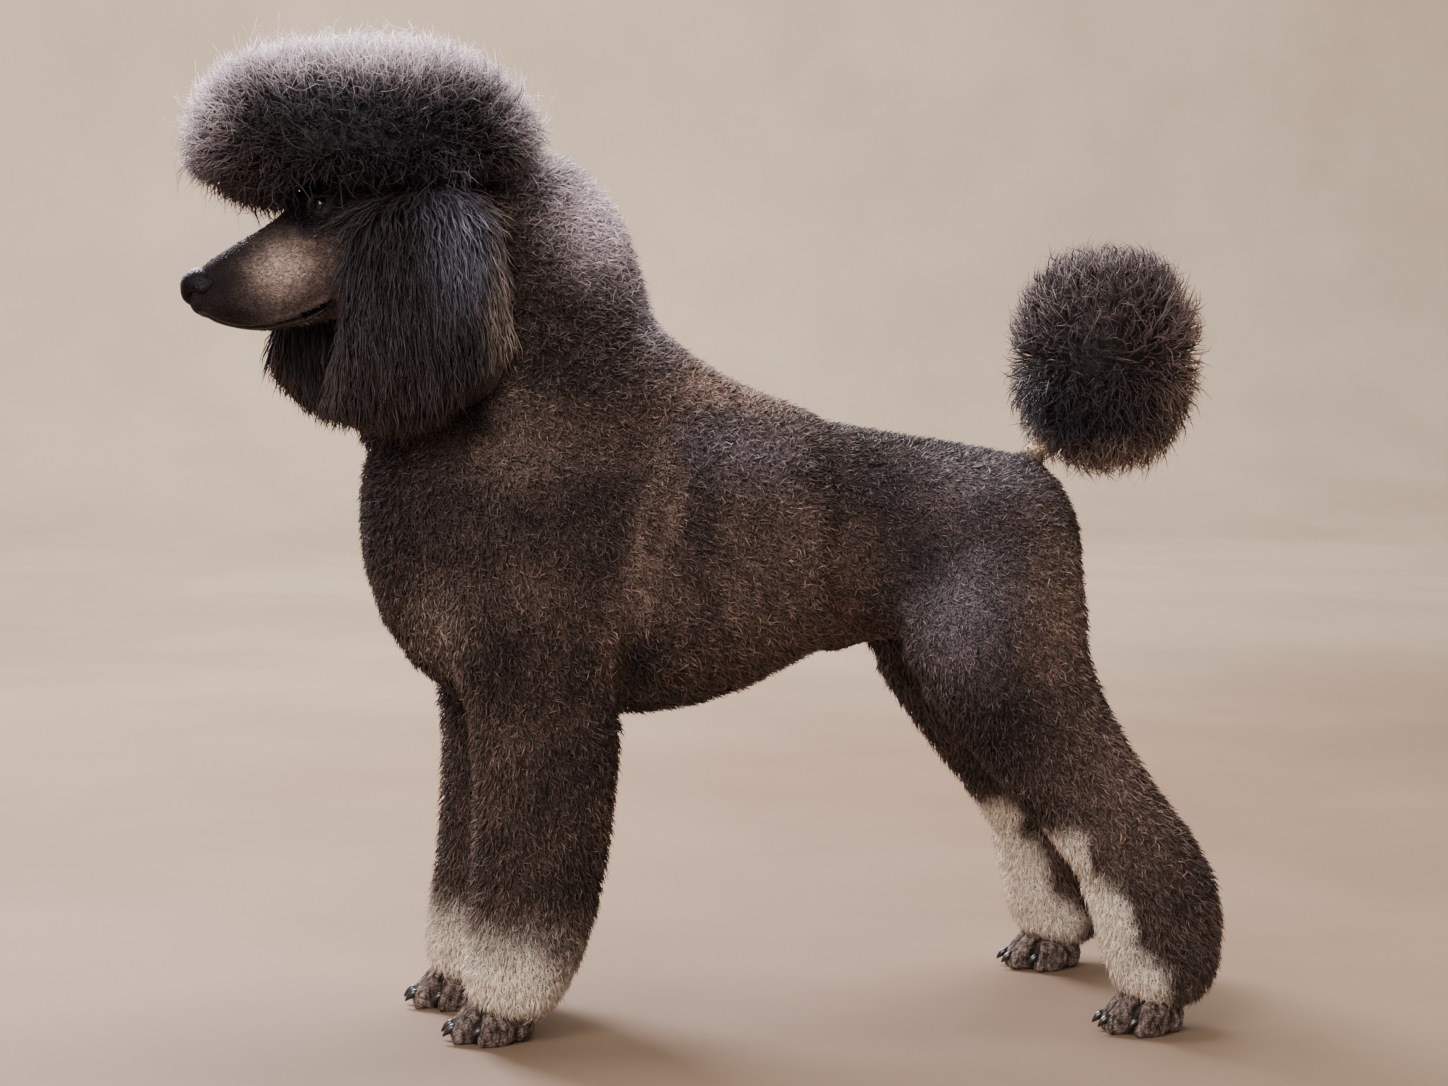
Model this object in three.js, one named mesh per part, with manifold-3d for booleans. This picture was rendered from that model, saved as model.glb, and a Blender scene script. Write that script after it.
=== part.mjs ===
// A standard poodle standing square in a show stance, life size, in millimetres.
// +Z is up, the nose points along -X, and +Y is the dog's right side.
// Every form is laid out about the dog's own middle plane, and the whole is then
// moved so that the origin is at the middle of its box, on the floor.
import * as THREE from 'three';
import { mergeVertices } from 'three/addons/utils/BufferGeometryUtils.js';
import Module from 'manifold-3d';

const wasm = await Module();
wasm.setup();

// Gap between neighbouring pieces
const GAP = 0.3;
// Half of the distance between the two fore feet and between the two hind feet
const FORE_TRACK = 70;
const HIND_TRACK = 134;
// Level of the soles, below which nothing reaches
const FLOOR = 6;
// How far the right feet stand ahead of the left ones
const FORE_LEAD = 26;
const HIND_LEAD = 20;
// How far the right ear's rear edge swings ahead of the left one's, and its hem hangs lower
const EAR_LEAD = 16;
const EAR_DROP = 8;
// Curls: how wide a rounded clump is on each part of the coat
const TOPKNOT_CLUMP = 102;
const MANE_CLUMP = 103;
const POM_CLUMP = 85;
// The core under clumps and locks reaches this share of the way to their tips
const CORE_SHARE = 0.5;
// How deep a clump or lock is rooted in its core
const ROOT_DEPTH = 14;
// Ear locks: width at the widest, thickness there, and the number in each tier
const LOCK_WIDTH = 62;
const LOCK_THICK = 17;
const LOCK_TIERS = [4, 5, 3];
// Where each tier starts and ends along the ear, and how far the locks fan about it
const LOCK_RUNS = [[0.1, 0.66], [0.4, 0.97], [0.45, 0.95]];
const LOCK_FAN = 1.8;
// Rings between two neighbouring slices of a loft
const RINGS = 1;
// Half size of a block that cuts away everything on one side of a plane
const REACH = 1200;

const LEFT = -1;
const RIGHT = 1;

const COLOURS = {
  body: 0x4a4038, leg: 0x51443b, pale: 0xcdbba8, crown: 0x3f3a40, ear: 0x3d3532,
  face: 0x6b5c50, paw: 0x4f4742, nose: 0x17161a, eye: 0x0c0a0a, claw: 0x161414,
};
const finish = (colour, roughness) =>
  new THREE.MeshStandardMaterial({ color: colour, roughness, metalness: 0 });
const COAT = finish(COLOURS.body, 0.95);
const LEG_COAT = finish(COLOURS.leg, 0.95);
const PALE_COAT = finish(COLOURS.pale, 0.95);
const CROWN_COAT = finish(COLOURS.crown, 0.95);
const EAR_COAT = finish(COLOURS.ear, 0.9);
const FACE_COAT = finish(COLOURS.face, 0.8);
const PAW_SKIN = finish(COLOURS.paw, 0.7);
const NOSE_SKIN = finish(COLOURS.nose, 0.4);
const EYE_GLOSS = finish(COLOURS.eye, 0.08);
const CLAW_HORN = finish(COLOURS.claw, 0.3);

// Solids: a closed geometry as a manifold, and back.
function solid(geometry) {
  const bare = new THREE.BufferGeometry();
  bare.setAttribute('position', geometry.getAttribute('position'));
  bare.setIndex(geometry.getIndex());
  const merged = mergeVertices(bare, 1e-4);
  return new wasm.Manifold(new wasm.Mesh({
    numProp: 3,
    vertProperties: new Float32Array(merged.getAttribute('position').array),
    triVerts: new Uint32Array(merged.getIndex().array),
  }));
}

function toGeometry(body) {
  const mesh = body.getMesh();
  const geometry = new THREE.BufferGeometry();
  geometry.setAttribute('position', new THREE.BufferAttribute(mesh.vertProperties, 3));
  geometry.setIndex(new THREE.BufferAttribute(mesh.triVerts, 1));
  return geometry;
}

const joined = (pieces) => pieces.reduce((whole, piece) => whole.add(piece));

// The largest closed surface of a body, without loose scraps.
function largest(body) {
  const pieces = body.decompose();
  return pieces.reduce((best, piece) => (piece.volume() > best.volume() ? piece : best));
}

// One slice of a loft: where it lies on the loft's axis, its lowest and highest
// reach on the second axis, its half width across, where it is widest, and the
// place of its middle across.
const slice = (at, low, high, half, wide = (low + high) / 2, side = 0) =>
  ({ at, low, high, half, wide, side });

// The smooth form through a row of slices, as a function of the place along it, from
// 0 to 1, and of the turn about it. The first and last slice close to a point. Along x
// the second axis is z, and along z it is x; the width is always along y. A slice is
// squarer the higher its square is, over its widest level, and its under is, below.
function skinOf(axis, slices, { square = 2, under = square, grow = 0 } = {}) {
  const sign = Math.sign(slices.at(-1).at - slices[0].at);
  const last = slices.length - 1;
  const grown = slices.map((s, i) => ({
    ...s,
    at: s.at + sign * grow * (Number(i === last) - Number(i === 0)),
    low: s.low - grow,
    high: s.high + grow,
    half: s.half + grow,
  }));
  const curve = (pick) => new THREE.CatmullRomCurve3(grown.map(pick), false, 'catmullrom', 0.5);
  const place = curve((s) => new THREE.Vector3(s.at, s.low, s.high));
  const width = curve((s) => new THREE.Vector3(s.half, s.wide, s.side));
  return (along, turn) => {
    const where = place.getPoint(along);
    const size = width.getPoint(along);
    const pole = along <= 0 || along >= 1;
    const rise = Math.sin(turn);
    const power = 2 / (rise >= 0 ? square : under);
    const bulge = (value) => Math.sign(value) * Math.abs(value) ** power;
    const reach = rise >= 0 ? where.z - size.y : size.y - where.y;
    const second = pole ? size.y : size.y + reach * bulge(rise);
    const across = pole ? size.z : size.z + size.x * bulge(Math.cos(turn));
    return axis === 'x'
      ? new THREE.Vector3(where.x, across, second)
      : new THREE.Vector3(second, across, where.x);
  };
}

// A closed ball of rings whose points are placed by a function of ring and turn.
function rounded(steps, around, placed) {
  const geometry = new THREE.SphereGeometry(1, around, steps);
  const position = geometry.getAttribute('position');
  for (let i = 0; i < position.count; i += 1) {
    const ring = Math.floor(i / (around + 1));
    const turn = ((i % (around + 1)) % around) / around * Math.PI * 2;
    position.setXYZ(i, ...placed(ring / steps, turn).toArray());
  }
  const body = solid(geometry);
  return body.volume() < 0 ? solid(flipped(geometry)) : body;
}

const loft = (axis, slices, { around = 16, rings = RINGS, ...shape } = {}) =>
  rounded((slices.length - 1) * rings, around, skinOf(axis, slices, shape));

function flipped(geometry) {
  const index = geometry.getIndex();
  for (let i = 0; i < index.count; i += 3) {
    const first = index.getX(i);
    index.setX(i, index.getX(i + 2));
    index.setX(i + 2, first);
  }
  return geometry;
}

// Everything on the side of a plane that the normal points to.
function beyond(point, normal) {
  const block = new THREE.BoxGeometry(2 * REACH, 2 * REACH, 2 * REACH);
  block.translate(0, 0, REACH);
  const turn = new THREE.Quaternion().setFromUnitVectors(
    new THREE.Vector3(0, 0, 1), new THREE.Vector3(...normal).normalize());
  block.applyQuaternion(turn);
  block.translate(...point);
  return solid(block);
}

// Takes the part of a body beyond a plane, and leaves the rest a gap away.
function part(body, point, normal) {
  const unit = new THREE.Vector3(...normal).normalize();
  const back = unit.clone().multiplyScalar(-GAP).add(new THREE.Vector3(...point));
  return {
    taken: body.intersect(beyond(point, normal)),
    left: body.subtract(beyond(back.toArray(), normal)),
  };
}

function ball(centre, radii, around = 16, down = 10) {
  const geometry = new THREE.SphereGeometry(1, around, down);
  geometry.scale(...radii);
  geometry.translate(...centre);
  return solid(geometry);
}

// Seeded draws between -1 and 1
function draws(seed) {
  let state = seed;
  return () => {
    state = (state * 1664525 + 1013904223) % 4294967296;
    return state / 2147483648 - 1;
  };
}

// Two ways square to a direction and to each other
function squareTo(way, hint) {
  const first = new THREE.Vector3().crossVectors(way, hint).normalize();
  return [first, new THREE.Vector3().crossVectors(way, first).normalize()];
}

// Places set evenly over a form, a step apart, in rows along it
function spread(skin, step, fine = 40) {
  const rows = [];
  let run = 0;
  let before = skin(0, 0.8);
  for (let i = 1; i <= fine; i += 1) {
    const here = skin(i / fine, 0.8);
    run += here.distanceTo(before);
    before = here;
    rows.push([i / fine, run]);
  }
  const count = Math.round(run / step);
  const places = [];
  for (let row = 0; row <= count; row += 1) {
    const target = Math.min(0.97, Math.max(0.03, row / count)) * run;
    const along = rows.find((r) => r[1] >= target)[0];
    const girth = Array.from({ length: fine }, (_, k) => (
      skin(along, k / fine * Math.PI * 2).distanceTo(skin(along, (k + 1) / fine * Math.PI * 2))
    )).reduce((sum, length) => sum + length);
    const inRow = Math.max(1, Math.round(girth / step));
    for (let k = 0; k < inRow; k += 1) {
      places.push(skin(along, (k + (row % 2) / 2) / inRow * Math.PI * 2));
    }
  }
  return places;
}

// One rounded clump of curls, from its root in the core out to its tip
function clump(root, tip, width, draw) {
  const way = tip.clone().sub(root);
  const [first, second] = squareTo(way, new THREE.Vector3(0.2, 0.3, 1));
  const girths = [0, 1, 0.8, 0];
  const stations = [0, 0.36, 0.82, 1];
  const twist = draw() * Math.PI;
  const size = width / 2 * (1 + draw() * 0.12);
  return rounded(3, 6, (along, turn) => {
    const i = Math.round(along * 3);
    return root.clone().addScaledVector(way, stations[i])
      .addScaledVector(first, Math.cos(turn + twist) * girths[i] * size)
      .addScaledVector(second, Math.sin(turn + twist) * girths[i] * size);
  });
}

// The core under clumps: the form drawn in towards its heart
const coreOf = (skin, heart, steps, around) => rounded(steps, around, (along, turn) => {
  const tip = skin(along, turn);
  return heart(tip).lerp(tip, CORE_SHARE);
});

// Clumps over a form, each rooted a little inside the core
function clumps({ skin, heart, width, seed, keep = () => true, slim = () => 1 }) {
  const step = width * 0.74;
  const draw = draws(seed);
  return spread(skin, step).filter(keep).map((tip) => {
    const inner = heart(tip);
    const way = tip.clone().sub(inner);
    const share = CORE_SHARE - ROOT_DEPTH / way.length();
    const root = inner.addScaledVector(way, Math.max(0.05, share));
    return clump(root, tip, width * slim(tip), draw);
  });
}

// Trunk: slices along x, with the lowest and highest reach in z and the half width.
const TRUNK = [
  slice(-342, 480, 490, 0, 485),
  slice(-336, 430, 535, 48, 485),
  slice(-320, 382, 560, 84, 480),
  slice(-294, 342, 580, 106, 470),
  slice(-255, 311, 596, 121, 460),
  slice(-200, 296, 610, 129, 450),
  slice(-140, 292, 622, 133, 440),
  slice(-80, 292, 632, 136, 430),
  slice(-35, 298, 634, 137, 430),
  slice(10, 311, 607, 136, 435),
  slice(50, 331, 590, 134, 440),
  slice(78, 345, 580, 127, 445),
  slice(94, 354, 569, 109, 452),
  slice(150, 357, 559, 104, 460),
  slice(200, 357, 551, 106, 455),
  slice(250, 357, 542, 110, 450),
  slice(290, 360, 533, 105, 445),
  slice(315, 368, 518, 88, 440),
  slice(334, 388, 484, 56, 435),
  slice(343, 425, 440, 0, 430),
];

// Neck with its mane: slices along z, with the reach in x.
const NECK = [
  slice(816, -215, -185, 0, -200),
  slice(802, -262, -147, 50, -200),
  slice(770, -292, -113, 74, -195),
  slice(735, -312, -94, 86, -190),
  slice(698, -324, -81, 92, -185),
  slice(660, -332, -68, 98, -180),
  slice(620, -337, -18, 108, -165),
  slice(580, -338, 20, 114, -150),
  slice(540, -325, 10, 100, -150),
  slice(510, -180, -140, 0, -160),
];

// Skull and muzzle: slices along x.
const HEAD = [
  slice(-246, 752, 762, 0, 757),
  slice(-258, 722, 795, 38, 757),
  slice(-290, 690, 815, 55, 750),
  slice(-330, 670, 818, 61, 742),
  slice(-365, 661, 808, 57, 730),
  slice(-390, 656, 777, 47, 713),
  slice(-408, 652, 756, 38, 703),
  slice(-428, 650, 742, 31, 696),
  slice(-448, 652, 730, 27, 690),
  slice(-466, 657, 719, 23.5, 686),
  slice(-480, 665, 710, 20, 686),
  slice(-487, 671, 703, 15, 686),
  slice(-491, 684, 690, 0, 687),
];

// Nose leather
const NOSE = [
  slice(-470, 688, 694, 0, 691),
  slice(-474, 676, 706, 16, 691),
  slice(-481, 674, 706, 18, 690),
  slice(-489, 676, 704, 17, 689),
  slice(-495, 680, 699, 12.5, 689),
  slice(-498, 686, 692, 0, 689),
];

// Topknot outline: slices along x. It is fuller at the rim than at the top.
const CROWN_SQUARE = { square: 2.1, under: 2.7 };
const CROWN = [
  slice(-499, 808, 820, 0, 814),
  slice(-490, 792, 856, 38, 820),
  slice(-468, 778, 884, 68, 826),
  slice(-438, 762, 903, 90, 824),
  slice(-398, 757, 914, 106, 820),
  slice(-350, 768, 918, 115, 818),
  slice(-300, 770, 919, 118, 818),
  slice(-250, 771, 911, 113, 820),
  slice(-210, 774, 890, 99, 822),
  slice(-180, 787, 860, 70, 824),
  slice(-165, 816, 830, 0, 823),
];

// One foreleg from the shoulder blade to the hem of its coat: slices along z.
const foreleg = (side) => {
  const lead = (z) => (side === RIGHT ? -FORE_LEAD * (0.65 + 0.35 * (1 - z / 300)) : 0);
  const row = (z, low, high, half, across) => slice(
    z, low + (z < 330 ? lead(z) : 0), high + (z < 330 ? lead(z) : 0), half,
    undefined, side * across);
  return [
    row(604, -160, -130, 0, 82),
    row(575, -205, -100, 20, 84),
    row(525, -250, -72, 47, 86),
    row(465, -276, -70, 57, 87),
    row(405, -282, -82, 60, 86),
    row(350, -266, -98, 58, 81),
    row(310, -252, -104, 55, 76),
    row(262, -246, -106, 52, 73),
    row(182, -247, -114, 50, FORE_TRACK),
    row(117, -252, -128, 49, FORE_TRACK),
    row(72, -256, -144, 49, FORE_TRACK),
    row(44, -250, -160, 44, FORE_TRACK),
    row(29, -234, -174, 31, FORE_TRACK),
    row(23, -215, -195, 0, FORE_TRACK),
  ];
};

// One hind leg from the hip to the hem of its coat: slices along z.
const hindleg = (side) => {
  const lead = (z) => (
    side === RIGHT ? -HIND_LEAD * Math.min(1, Math.max(0, (360 - z) / 260)) : 0);
  const row = (z, low, high, half, across) => slice(
    z, low + lead(z), high + lead(z), half, undefined, side * across);
  return [
    row(508, 250, 280, 0, 68),
    row(478, 215, 312, 36, 72),
    row(438, 180, 327, 50, 76),
    row(392, 152, 331, 59, 79),
    row(350, 147, 333, 58, 85),
    row(310, 174, 346, 54, 93),
    row(270, 205, 367, 50, 101),
    row(230, 240, 392, 47, 110),
    row(190, 277, 421, 46, 119),
    row(150, 307, 442, 47, 126),
    row(110, 321, 447, 48, 131),
    row(75, 330, 445, 48, HIND_TRACK),
    row(48, 342, 436, 43, HIND_TRACK),
    row(33, 362, 420, 30, HIND_TRACK),
    row(26, 385, 400, 0, HIND_TRACK),
  ];
};

// One ear with its long hair: slices along z. The last number of a row is how much
// further forward the right ear's front edge hangs.
const ear = (side) => {
  const lead = (z) => (side === RIGHT ? -EAR_LEAD * Math.min(1, (790 - z) / 150) : 0);
  const drop = (z) => (side === RIGHT ? EAR_DROP * (790 - z) / 228 : 0);
  const row = (z, low, high, half, across, fore) => slice(
    z - drop(z), low - (side === RIGHT ? fore : 0), high + lead(z), half, undefined,
    side * across);
  return [
    row(790, -275, -255, 0, 66, 0),
    row(781, -308, -240, 13, 74, 4),
    row(765, -350, -226, 20, 86, 10),
    row(735, -366, -217, 23, 98, 16),
    row(700, -369, -212, 25, 106, 32),
    row(660, -371, -207, 27, 111, 48),
    row(620, -378, -209, 28, 111, 46),
    row(594, -384, -222, 27, 108, 22),
    row(575, -370, -256, 22, 105, 12),
    row(562, -336, -300, 0, 103, 4),
  ];
};

// Sheath under the belly: slices along x.
const SHEATH = [
  slice(90, 347, 352, 0, 350),
  slice(94, 343, 364, 7, 352),
  slice(108, 344, 368, 11, 354),
  slice(128, 351, 370, 10, 358),
  slice(150, 358, 372, 6, 362),
  slice(160, 364, 368, 0, 366),
];

// The mane thins towards this middle line and level, and its flesh reaches these
// shares of the way out and up.
const NECK_MIDDLE = -200;
const MANE_LOW = 640;
const NECK_FLESH = 0.68;
const NECK_FLESH_UP = 0.9;
// A clump of the mane is kept this far behind the head's cut and over the neck's foot,
// and off the strip that an ear covers.
const MANE_PAST = 22;
const MANE_FOOT = 12;
const UNDER_EAR = { out: 62, ahead: -245, over: 600 };
// The ears stay this far under the topknot's smooth form
const CROWN_SLACK = 14;
// The mane's clumps stay this far off the smooth form of an ear
const EAR_CLEAR = 10;
// The mane stays this far under the topknot's smooth form
const NAPE_CLEAR = 24;
// Under this level the topknot's clumps are slimmer, to clear the ears and the mane.
const RIM_TOP = 812;
const RIM_SLIM = 0.78;
// The topknot's hair grows from the skull between these two places and at this level.
const CROWN_FRONT = -410;
const CROWN_BACK = -250;
const CROWN_FOOT = 815;
const CROWN_SPREAD = 0.25;
// A clump of the topknot is kept over this level, ahead of the brow, or out at the side.
const CROWN_SHOWS = { over: 796, ahead: -405, out: 62, behind: -215 };
// The middle of an ear's own leather flap, and how far out it reaches in its hair
const EAR_LEATHER = [-290, 100, 715];
const EAR_FLESH = 0.35;
// The pom's hair grows from this point and the end of the tail in it.
const POM_MIDDLE = [368, 0, 622];
const POM_FLESH = 0.05;

const TAIL_START = new THREE.Vector3(276, 0, 512);
const TAIL_END = new THREE.Vector3(352, 0, 588);
const TAIL_RADIUS = 12;

// Tail pom outline: slices along z.
const POM = [
  slice(514, 358, 378, 0, 368),
  slice(525, 322, 416, 44, 368),
  slice(550, 293, 441, 67, 368),
  slice(585, 278, 456, 80, 368),
  slice(620, 274, 461, 85, 368),
  slice(655, 278, 460, 84, 368),
  slice(690, 291, 448, 74, 368),
  slice(717, 316, 424, 50, 368),
  slice(730, 358, 378, 0, 368),
];
const EYE_RADIUS = 10.5;
const eyeCentre = (side) => [-371, side * 40, 764];
// How the rim of the lids is turned: nose end down, facing forward and up, and how
// far it stands out of the eye's middle
const EYE_TILT = 0.25;
const EYE_TURN = 0.45;
const EYE_ROLL = 0.2;
const LID_OUT = 6.5;
const MOUTH_GAP = 0.5;

function tailStub(grow = 0) {
  const path = TAIL_END.clone().sub(TAIL_START);
  const geometry = new THREE.CylinderGeometry(TAIL_RADIUS + grow, TAIL_RADIUS + 2 + grow,
    path.length() + 2 * grow, 12);
  geometry.applyQuaternion(new THREE.Quaternion().setFromUnitVectors(
    new THREE.Vector3(0, 1, 0), path.clone().normalize()));
  geometry.translate(...TAIL_START.clone().addScaledVector(path, 0.5).toArray());
  return solid(geometry);
}

// Toes of one paw, by their place across the paw and how far each reaches forward.
// The outer ones are set well back.
const TOES = [
  { across: -25, reach: 11, height: 28 },
  { across: -9, reach: 34, height: 35 },
  { across: 9, reach: 34, height: 35 },
  { across: 25, reach: 11, height: 28 },
];
const TOE_HALF = 11;

// One toe: up from the instep, over the knuckle and down to the tip, along -x.
function toe({ across, reach, height }, [x, y]) {
  const middle = y + across;
  const rows = [
    slice(x + 26, FLOOR + 10, FLOOR + 24, 0, FLOOR + 16, middle - across * 0.3),
    slice(x + 4, FLOOR - 3, FLOOR + height + 7, TOE_HALF, FLOOR + 16, middle),
    slice(x - reach * 0.5, FLOOR - 3, FLOOR + height + 4, TOE_HALF, FLOOR + 15, middle),
    slice(x - reach * 0.86, FLOOR - 3, FLOOR + height - 7, TOE_HALF - 1, FLOOR + 12, middle),
    slice(x - reach, FLOOR + 8, FLOOR + 16, 0, FLOOR + 12, middle),
  ];
  return loft('x', rows, { around: 8 });
}

function paw([x, y]) {
  const heel = loft('x', [
    slice(x + 44, FLOOR + 8, FLOOR + 20, 0, FLOOR + 13, y),
    slice(x + 36, FLOOR - 2, FLOOR + 30, 20, FLOOR + 13, y),
    slice(x + 10, FLOOR - 3, FLOOR + 42, 26, FLOOR + 15, y),
    slice(x - 12, FLOOR + 6, FLOOR + 14, 0, FLOOR + 10, y),
  ], { around: 10 });
  const whole = joined([heel, ...TOES.map((t) => toe(t, [x, y]))]);
  return whole.intersect(beyond([0, 0, FLOOR], [0, 0, 1]));
}

// One claw: a short horn that curves forward and down from the tip of its toe.
function claw({ across, reach }, [x, y]) {
  const tip = x - reach;
  const side = y + across;
  return loft('x', [
    slice(tip + 7, FLOOR + 12, FLOOR + 17, 0, FLOOR + 14, side),
    slice(tip - 1, FLOOR + 9, FLOOR + 17.5, 3.4, FLOOR + 13.5, side),
    slice(tip - 5, FLOOR + 6.5, FLOOR + 13.5, 2.4, FLOOR + 10, side),
    slice(tip - 7.5, FLOOR + 5, FLOOR + 7, 0, FLOOR + 6, side),
  ], { around: 5 });
}

const root = new THREE.Group();
function addNode(name, body, material) {
  const mesh = new THREE.Mesh(toGeometry(largest(body)), material);
  mesh.name = name;
  root.add(mesh);
}

const crownForm = (grow) => loft('x', CROWN, { around: 20, ...CROWN_SQUARE, grow });

// Flesh and short coat in one, then parted by thin cuts
const sides = [[LEFT, 'left'], [RIGHT, 'right']];
const trunk = loft('x', TRUNK, { around: 20, square: 2.15 });
const neck = loft('z', NECK, { around: 16 });
const skull = loft('x', HEAD, { around: 16, square: 2.1 });
const body = joined([
  trunk, neck,
  ...sides.map(([side]) => loft('z', foreleg(side), { around: 14, square: 2.2 })),
  ...sides.map(([side]) => loft('z', hindleg(side), { around: 14, square: 2.2 })),
]);

// The head parts from the neck on a plane from the nape to the throat, and the neck
// from the chest on one above the shoulders.
const NAPE = [-240, 0, 806];
const HEAD_WAY = [-0.866, 0, 0.5];
const NECK_FOOT = [-200, 0, 612];
const NECK_WAY = [-0.3, 0, 0.954];
const headCut = part(body, NAPE, HEAD_WAY);
const headSide = beyond([NAPE[0] + HEAD_WAY[0] * GAP, 0, NAPE[2] + HEAD_WAY[2] * GAP], HEAD_WAY);
const face = skull.intersect(headSide);

const neckCut = part(headCut.left, NECK_FOOT, NECK_WAY);
const neckRoom = beyond(NECK_FOOT, NECK_WAY)
  .subtract(beyond([NAPE[0] - HEAD_WAY[0] * GAP, 0, NAPE[2] - HEAD_WAY[2] * GAP], HEAD_WAY));
const maneSkin = skinOf('z', NECK);
const maneHeart = (tip) => new THREE.Vector3(
  NECK_MIDDLE + (tip.x - NECK_MIDDLE) * NECK_FLESH,
  tip.y * NECK_FLESH,
  MANE_LOW + (tip.z - MANE_LOW) * NECK_FLESH_UP);
const maneCore = coreOf(maneSkin, maneHeart, 7, 10);
const maneCurls = joined(clumps({
  skin: maneSkin, heart: maneHeart, width: MANE_CLUMP, seed: 11, keep: inMane,
})).subtract(joined(sides.map(([side]) => (
  loft('z', ear(side), { around: 12, square: 2.2, grow: EAR_CLEAR })))));
const mane = maneCore.add(maneCurls);
addNode('neck', mane.intersect(neckRoom).subtract(crownForm(NAPE_CLEAR)), COAT);

// Legs part from the trunk at the elbow and along the groin.
const ELBOW = 290;
const GROIN = [170, 0, 357];
const GROIN_WAY = [0.28, 0, -0.96];
let rest = neckCut.left;
const legs = {};
for (const [side, name] of sides) {
  const halfPlane = beyond([0, side * GAP / 2, 0], [0, side, 0]);
  const fore = beyond([0, 0, ELBOW], [0, 0, -1])
    .subtract(beyond([-60, 0, 0], [1, 0, 0]))
    .intersect(halfPlane);
  const hind = beyond(GROIN, GROIN_WAY)
    .intersect(beyond([100, 0, 0], [1, 0, 0]))
    .intersect(halfPlane);
  legs[`fore_${name}`] = rest.intersect(fore);
  legs[`hind_${name}`] = rest.intersect(hind);
}
const foreOff = beyond([0, 0, ELBOW + GAP], [0, 0, -1]).subtract(beyond([-60, 0, 0], [1, 0, 0]));
const hindOff = beyond([GROIN[0], 0, GROIN[2] + GAP], GROIN_WAY)
  .intersect(beyond([100, 0, 0], [1, 0, 0]));
rest = rest.subtract(foreOff).subtract(hindOff);

const loinCut = part(rest, [90, 0, 450], [1, 0, 0.06]);
addNode('chest', loinCut.left, COAT);
const rumpCut = part(loinCut.taken, [205, 0, 450], [1, 0, 0.06]);
addNode('loin', rumpCut.left, COAT);
addNode('rump', rumpCut.taken.subtract(tailStub(GAP)), COAT);
const trunkGrown = loft('x', TRUNK, { around: 20, square: 2.15, grow: GAP });
addNode('sheath', loft('x', SHEATH, { around: 10 }).subtract(trunkGrown), FACE_COAT);

// The mouth line runs from the chin up to the corner under the eye.
const MOUTH_FRONT = [-466, 0, 655.5];
const MOUTH_CORNER = -368;
const CHIN = -459;
const MOUTH_WAY = [0.12, 0, -0.99];
const mouthHeight = (x) => MOUTH_FRONT[2] - (x - MOUTH_FRONT[0]) * MOUTH_WAY[0] / MOUTH_WAY[2];
const LIP_RADIUS = 3.6;

// A clump of the mane is kept where neither the head nor an ear hides it.
function inMane(tip) {
  const past = new THREE.Vector3(...HEAD_WAY).dot(tip.clone().sub(new THREE.Vector3(...NAPE)));
  const above = new THREE.Vector3(...NECK_WAY).dot(
    tip.clone().sub(new THREE.Vector3(...NECK_FOOT)));
  const { out, ahead, over } = UNDER_EAR;
  const underEar = Math.abs(tip.y) > out && tip.x < ahead && tip.z > over;
  return past < -MANE_PAST && above > -MANE_FOOT && !underEar;
}

// A clump of the topknot is kept where neither the head nor the mane hides it.
function offHead(tip) {
  const { over, ahead, out, behind } = CROWN_SHOWS;
  return tip.z > over || tip.x < ahead || (Math.abs(tip.y) > out && tip.x < behind);
}

// One flat, tapered lock that lies along a form's face, from its root in the core. Its
// flat side looks along the given way out.
function lock({ skin, out, depth, from, to, turn, sway, width, thick }) {
  const stations = [0, 0.22, 0.6, 0.87, 1];
  const spans = [0, 1, 0.96, 0.6, 0];
  const steps = stations.length - 1;
  const lie = (t) => skin(from + (to - from) * t, turn + sway * Math.sin(t * Math.PI * 1.4));
  return rounded(steps, 4, (along, round) => {
    const i = Math.round(along * steps);
    const t = stations[i];
    const down = lie(Math.min(1, t + 0.05)).sub(lie(Math.max(0, t - 0.05))).normalize();
    const across = new THREE.Vector3().crossVectors(down, out).normalize();
    return lie(t).addScaledVector(out, i === 0 ? -depth : -thick * 0.4)
      .addScaledVector(across, Math.cos(round) * spans[i] * width / 2)
      .addScaledVector(out, Math.sin(round) * spans[i] * thick / 2);
  });
}

// One ear: a flap under tiers of locks that hang down over one another, the last tier
// on the inner face
function hairyEar(side) {
  const skin = skinOf('z', ear(side), { square: 2.2 });
  const [leatherX, leatherY, leatherZ] = EAR_LEATHER;
  const middle = new THREE.Vector3(leatherX, side * leatherY, leatherZ);
  const heart = (tip) => middle.clone().lerp(tip, EAR_FLESH);
  const draw = draws(side === LEFT ? 31 : 37);
  const locks = LOCK_TIERS.flatMap((count, tier) => Array.from({ length: count }, (_, k) => {
    const face = tier === 2 ? -side : side;
    const [from, to] = LOCK_RUNS[tier];
    const comb = ((k + 0.5) / count - 0.5) * LOCK_FAN;
    return lock({
      skin,
      out: new THREE.Vector3(0, face, 0),
      depth: ROOT_DEPTH + LOCK_THICK / 2,
      from: from + draw() * 0.02,
      to: Math.min(0.985, to + draw() * 0.02),
      turn: face === RIGHT ? comb : Math.PI - comb,
      sway: 0.08 * draw(),
      width: LOCK_WIDTH * (1 + draw() * 0.1),
      thick: LOCK_THICK,
    });
  }));
  return joined([coreOf(skin, heart, 8, 10), ...locks]);
}

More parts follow.
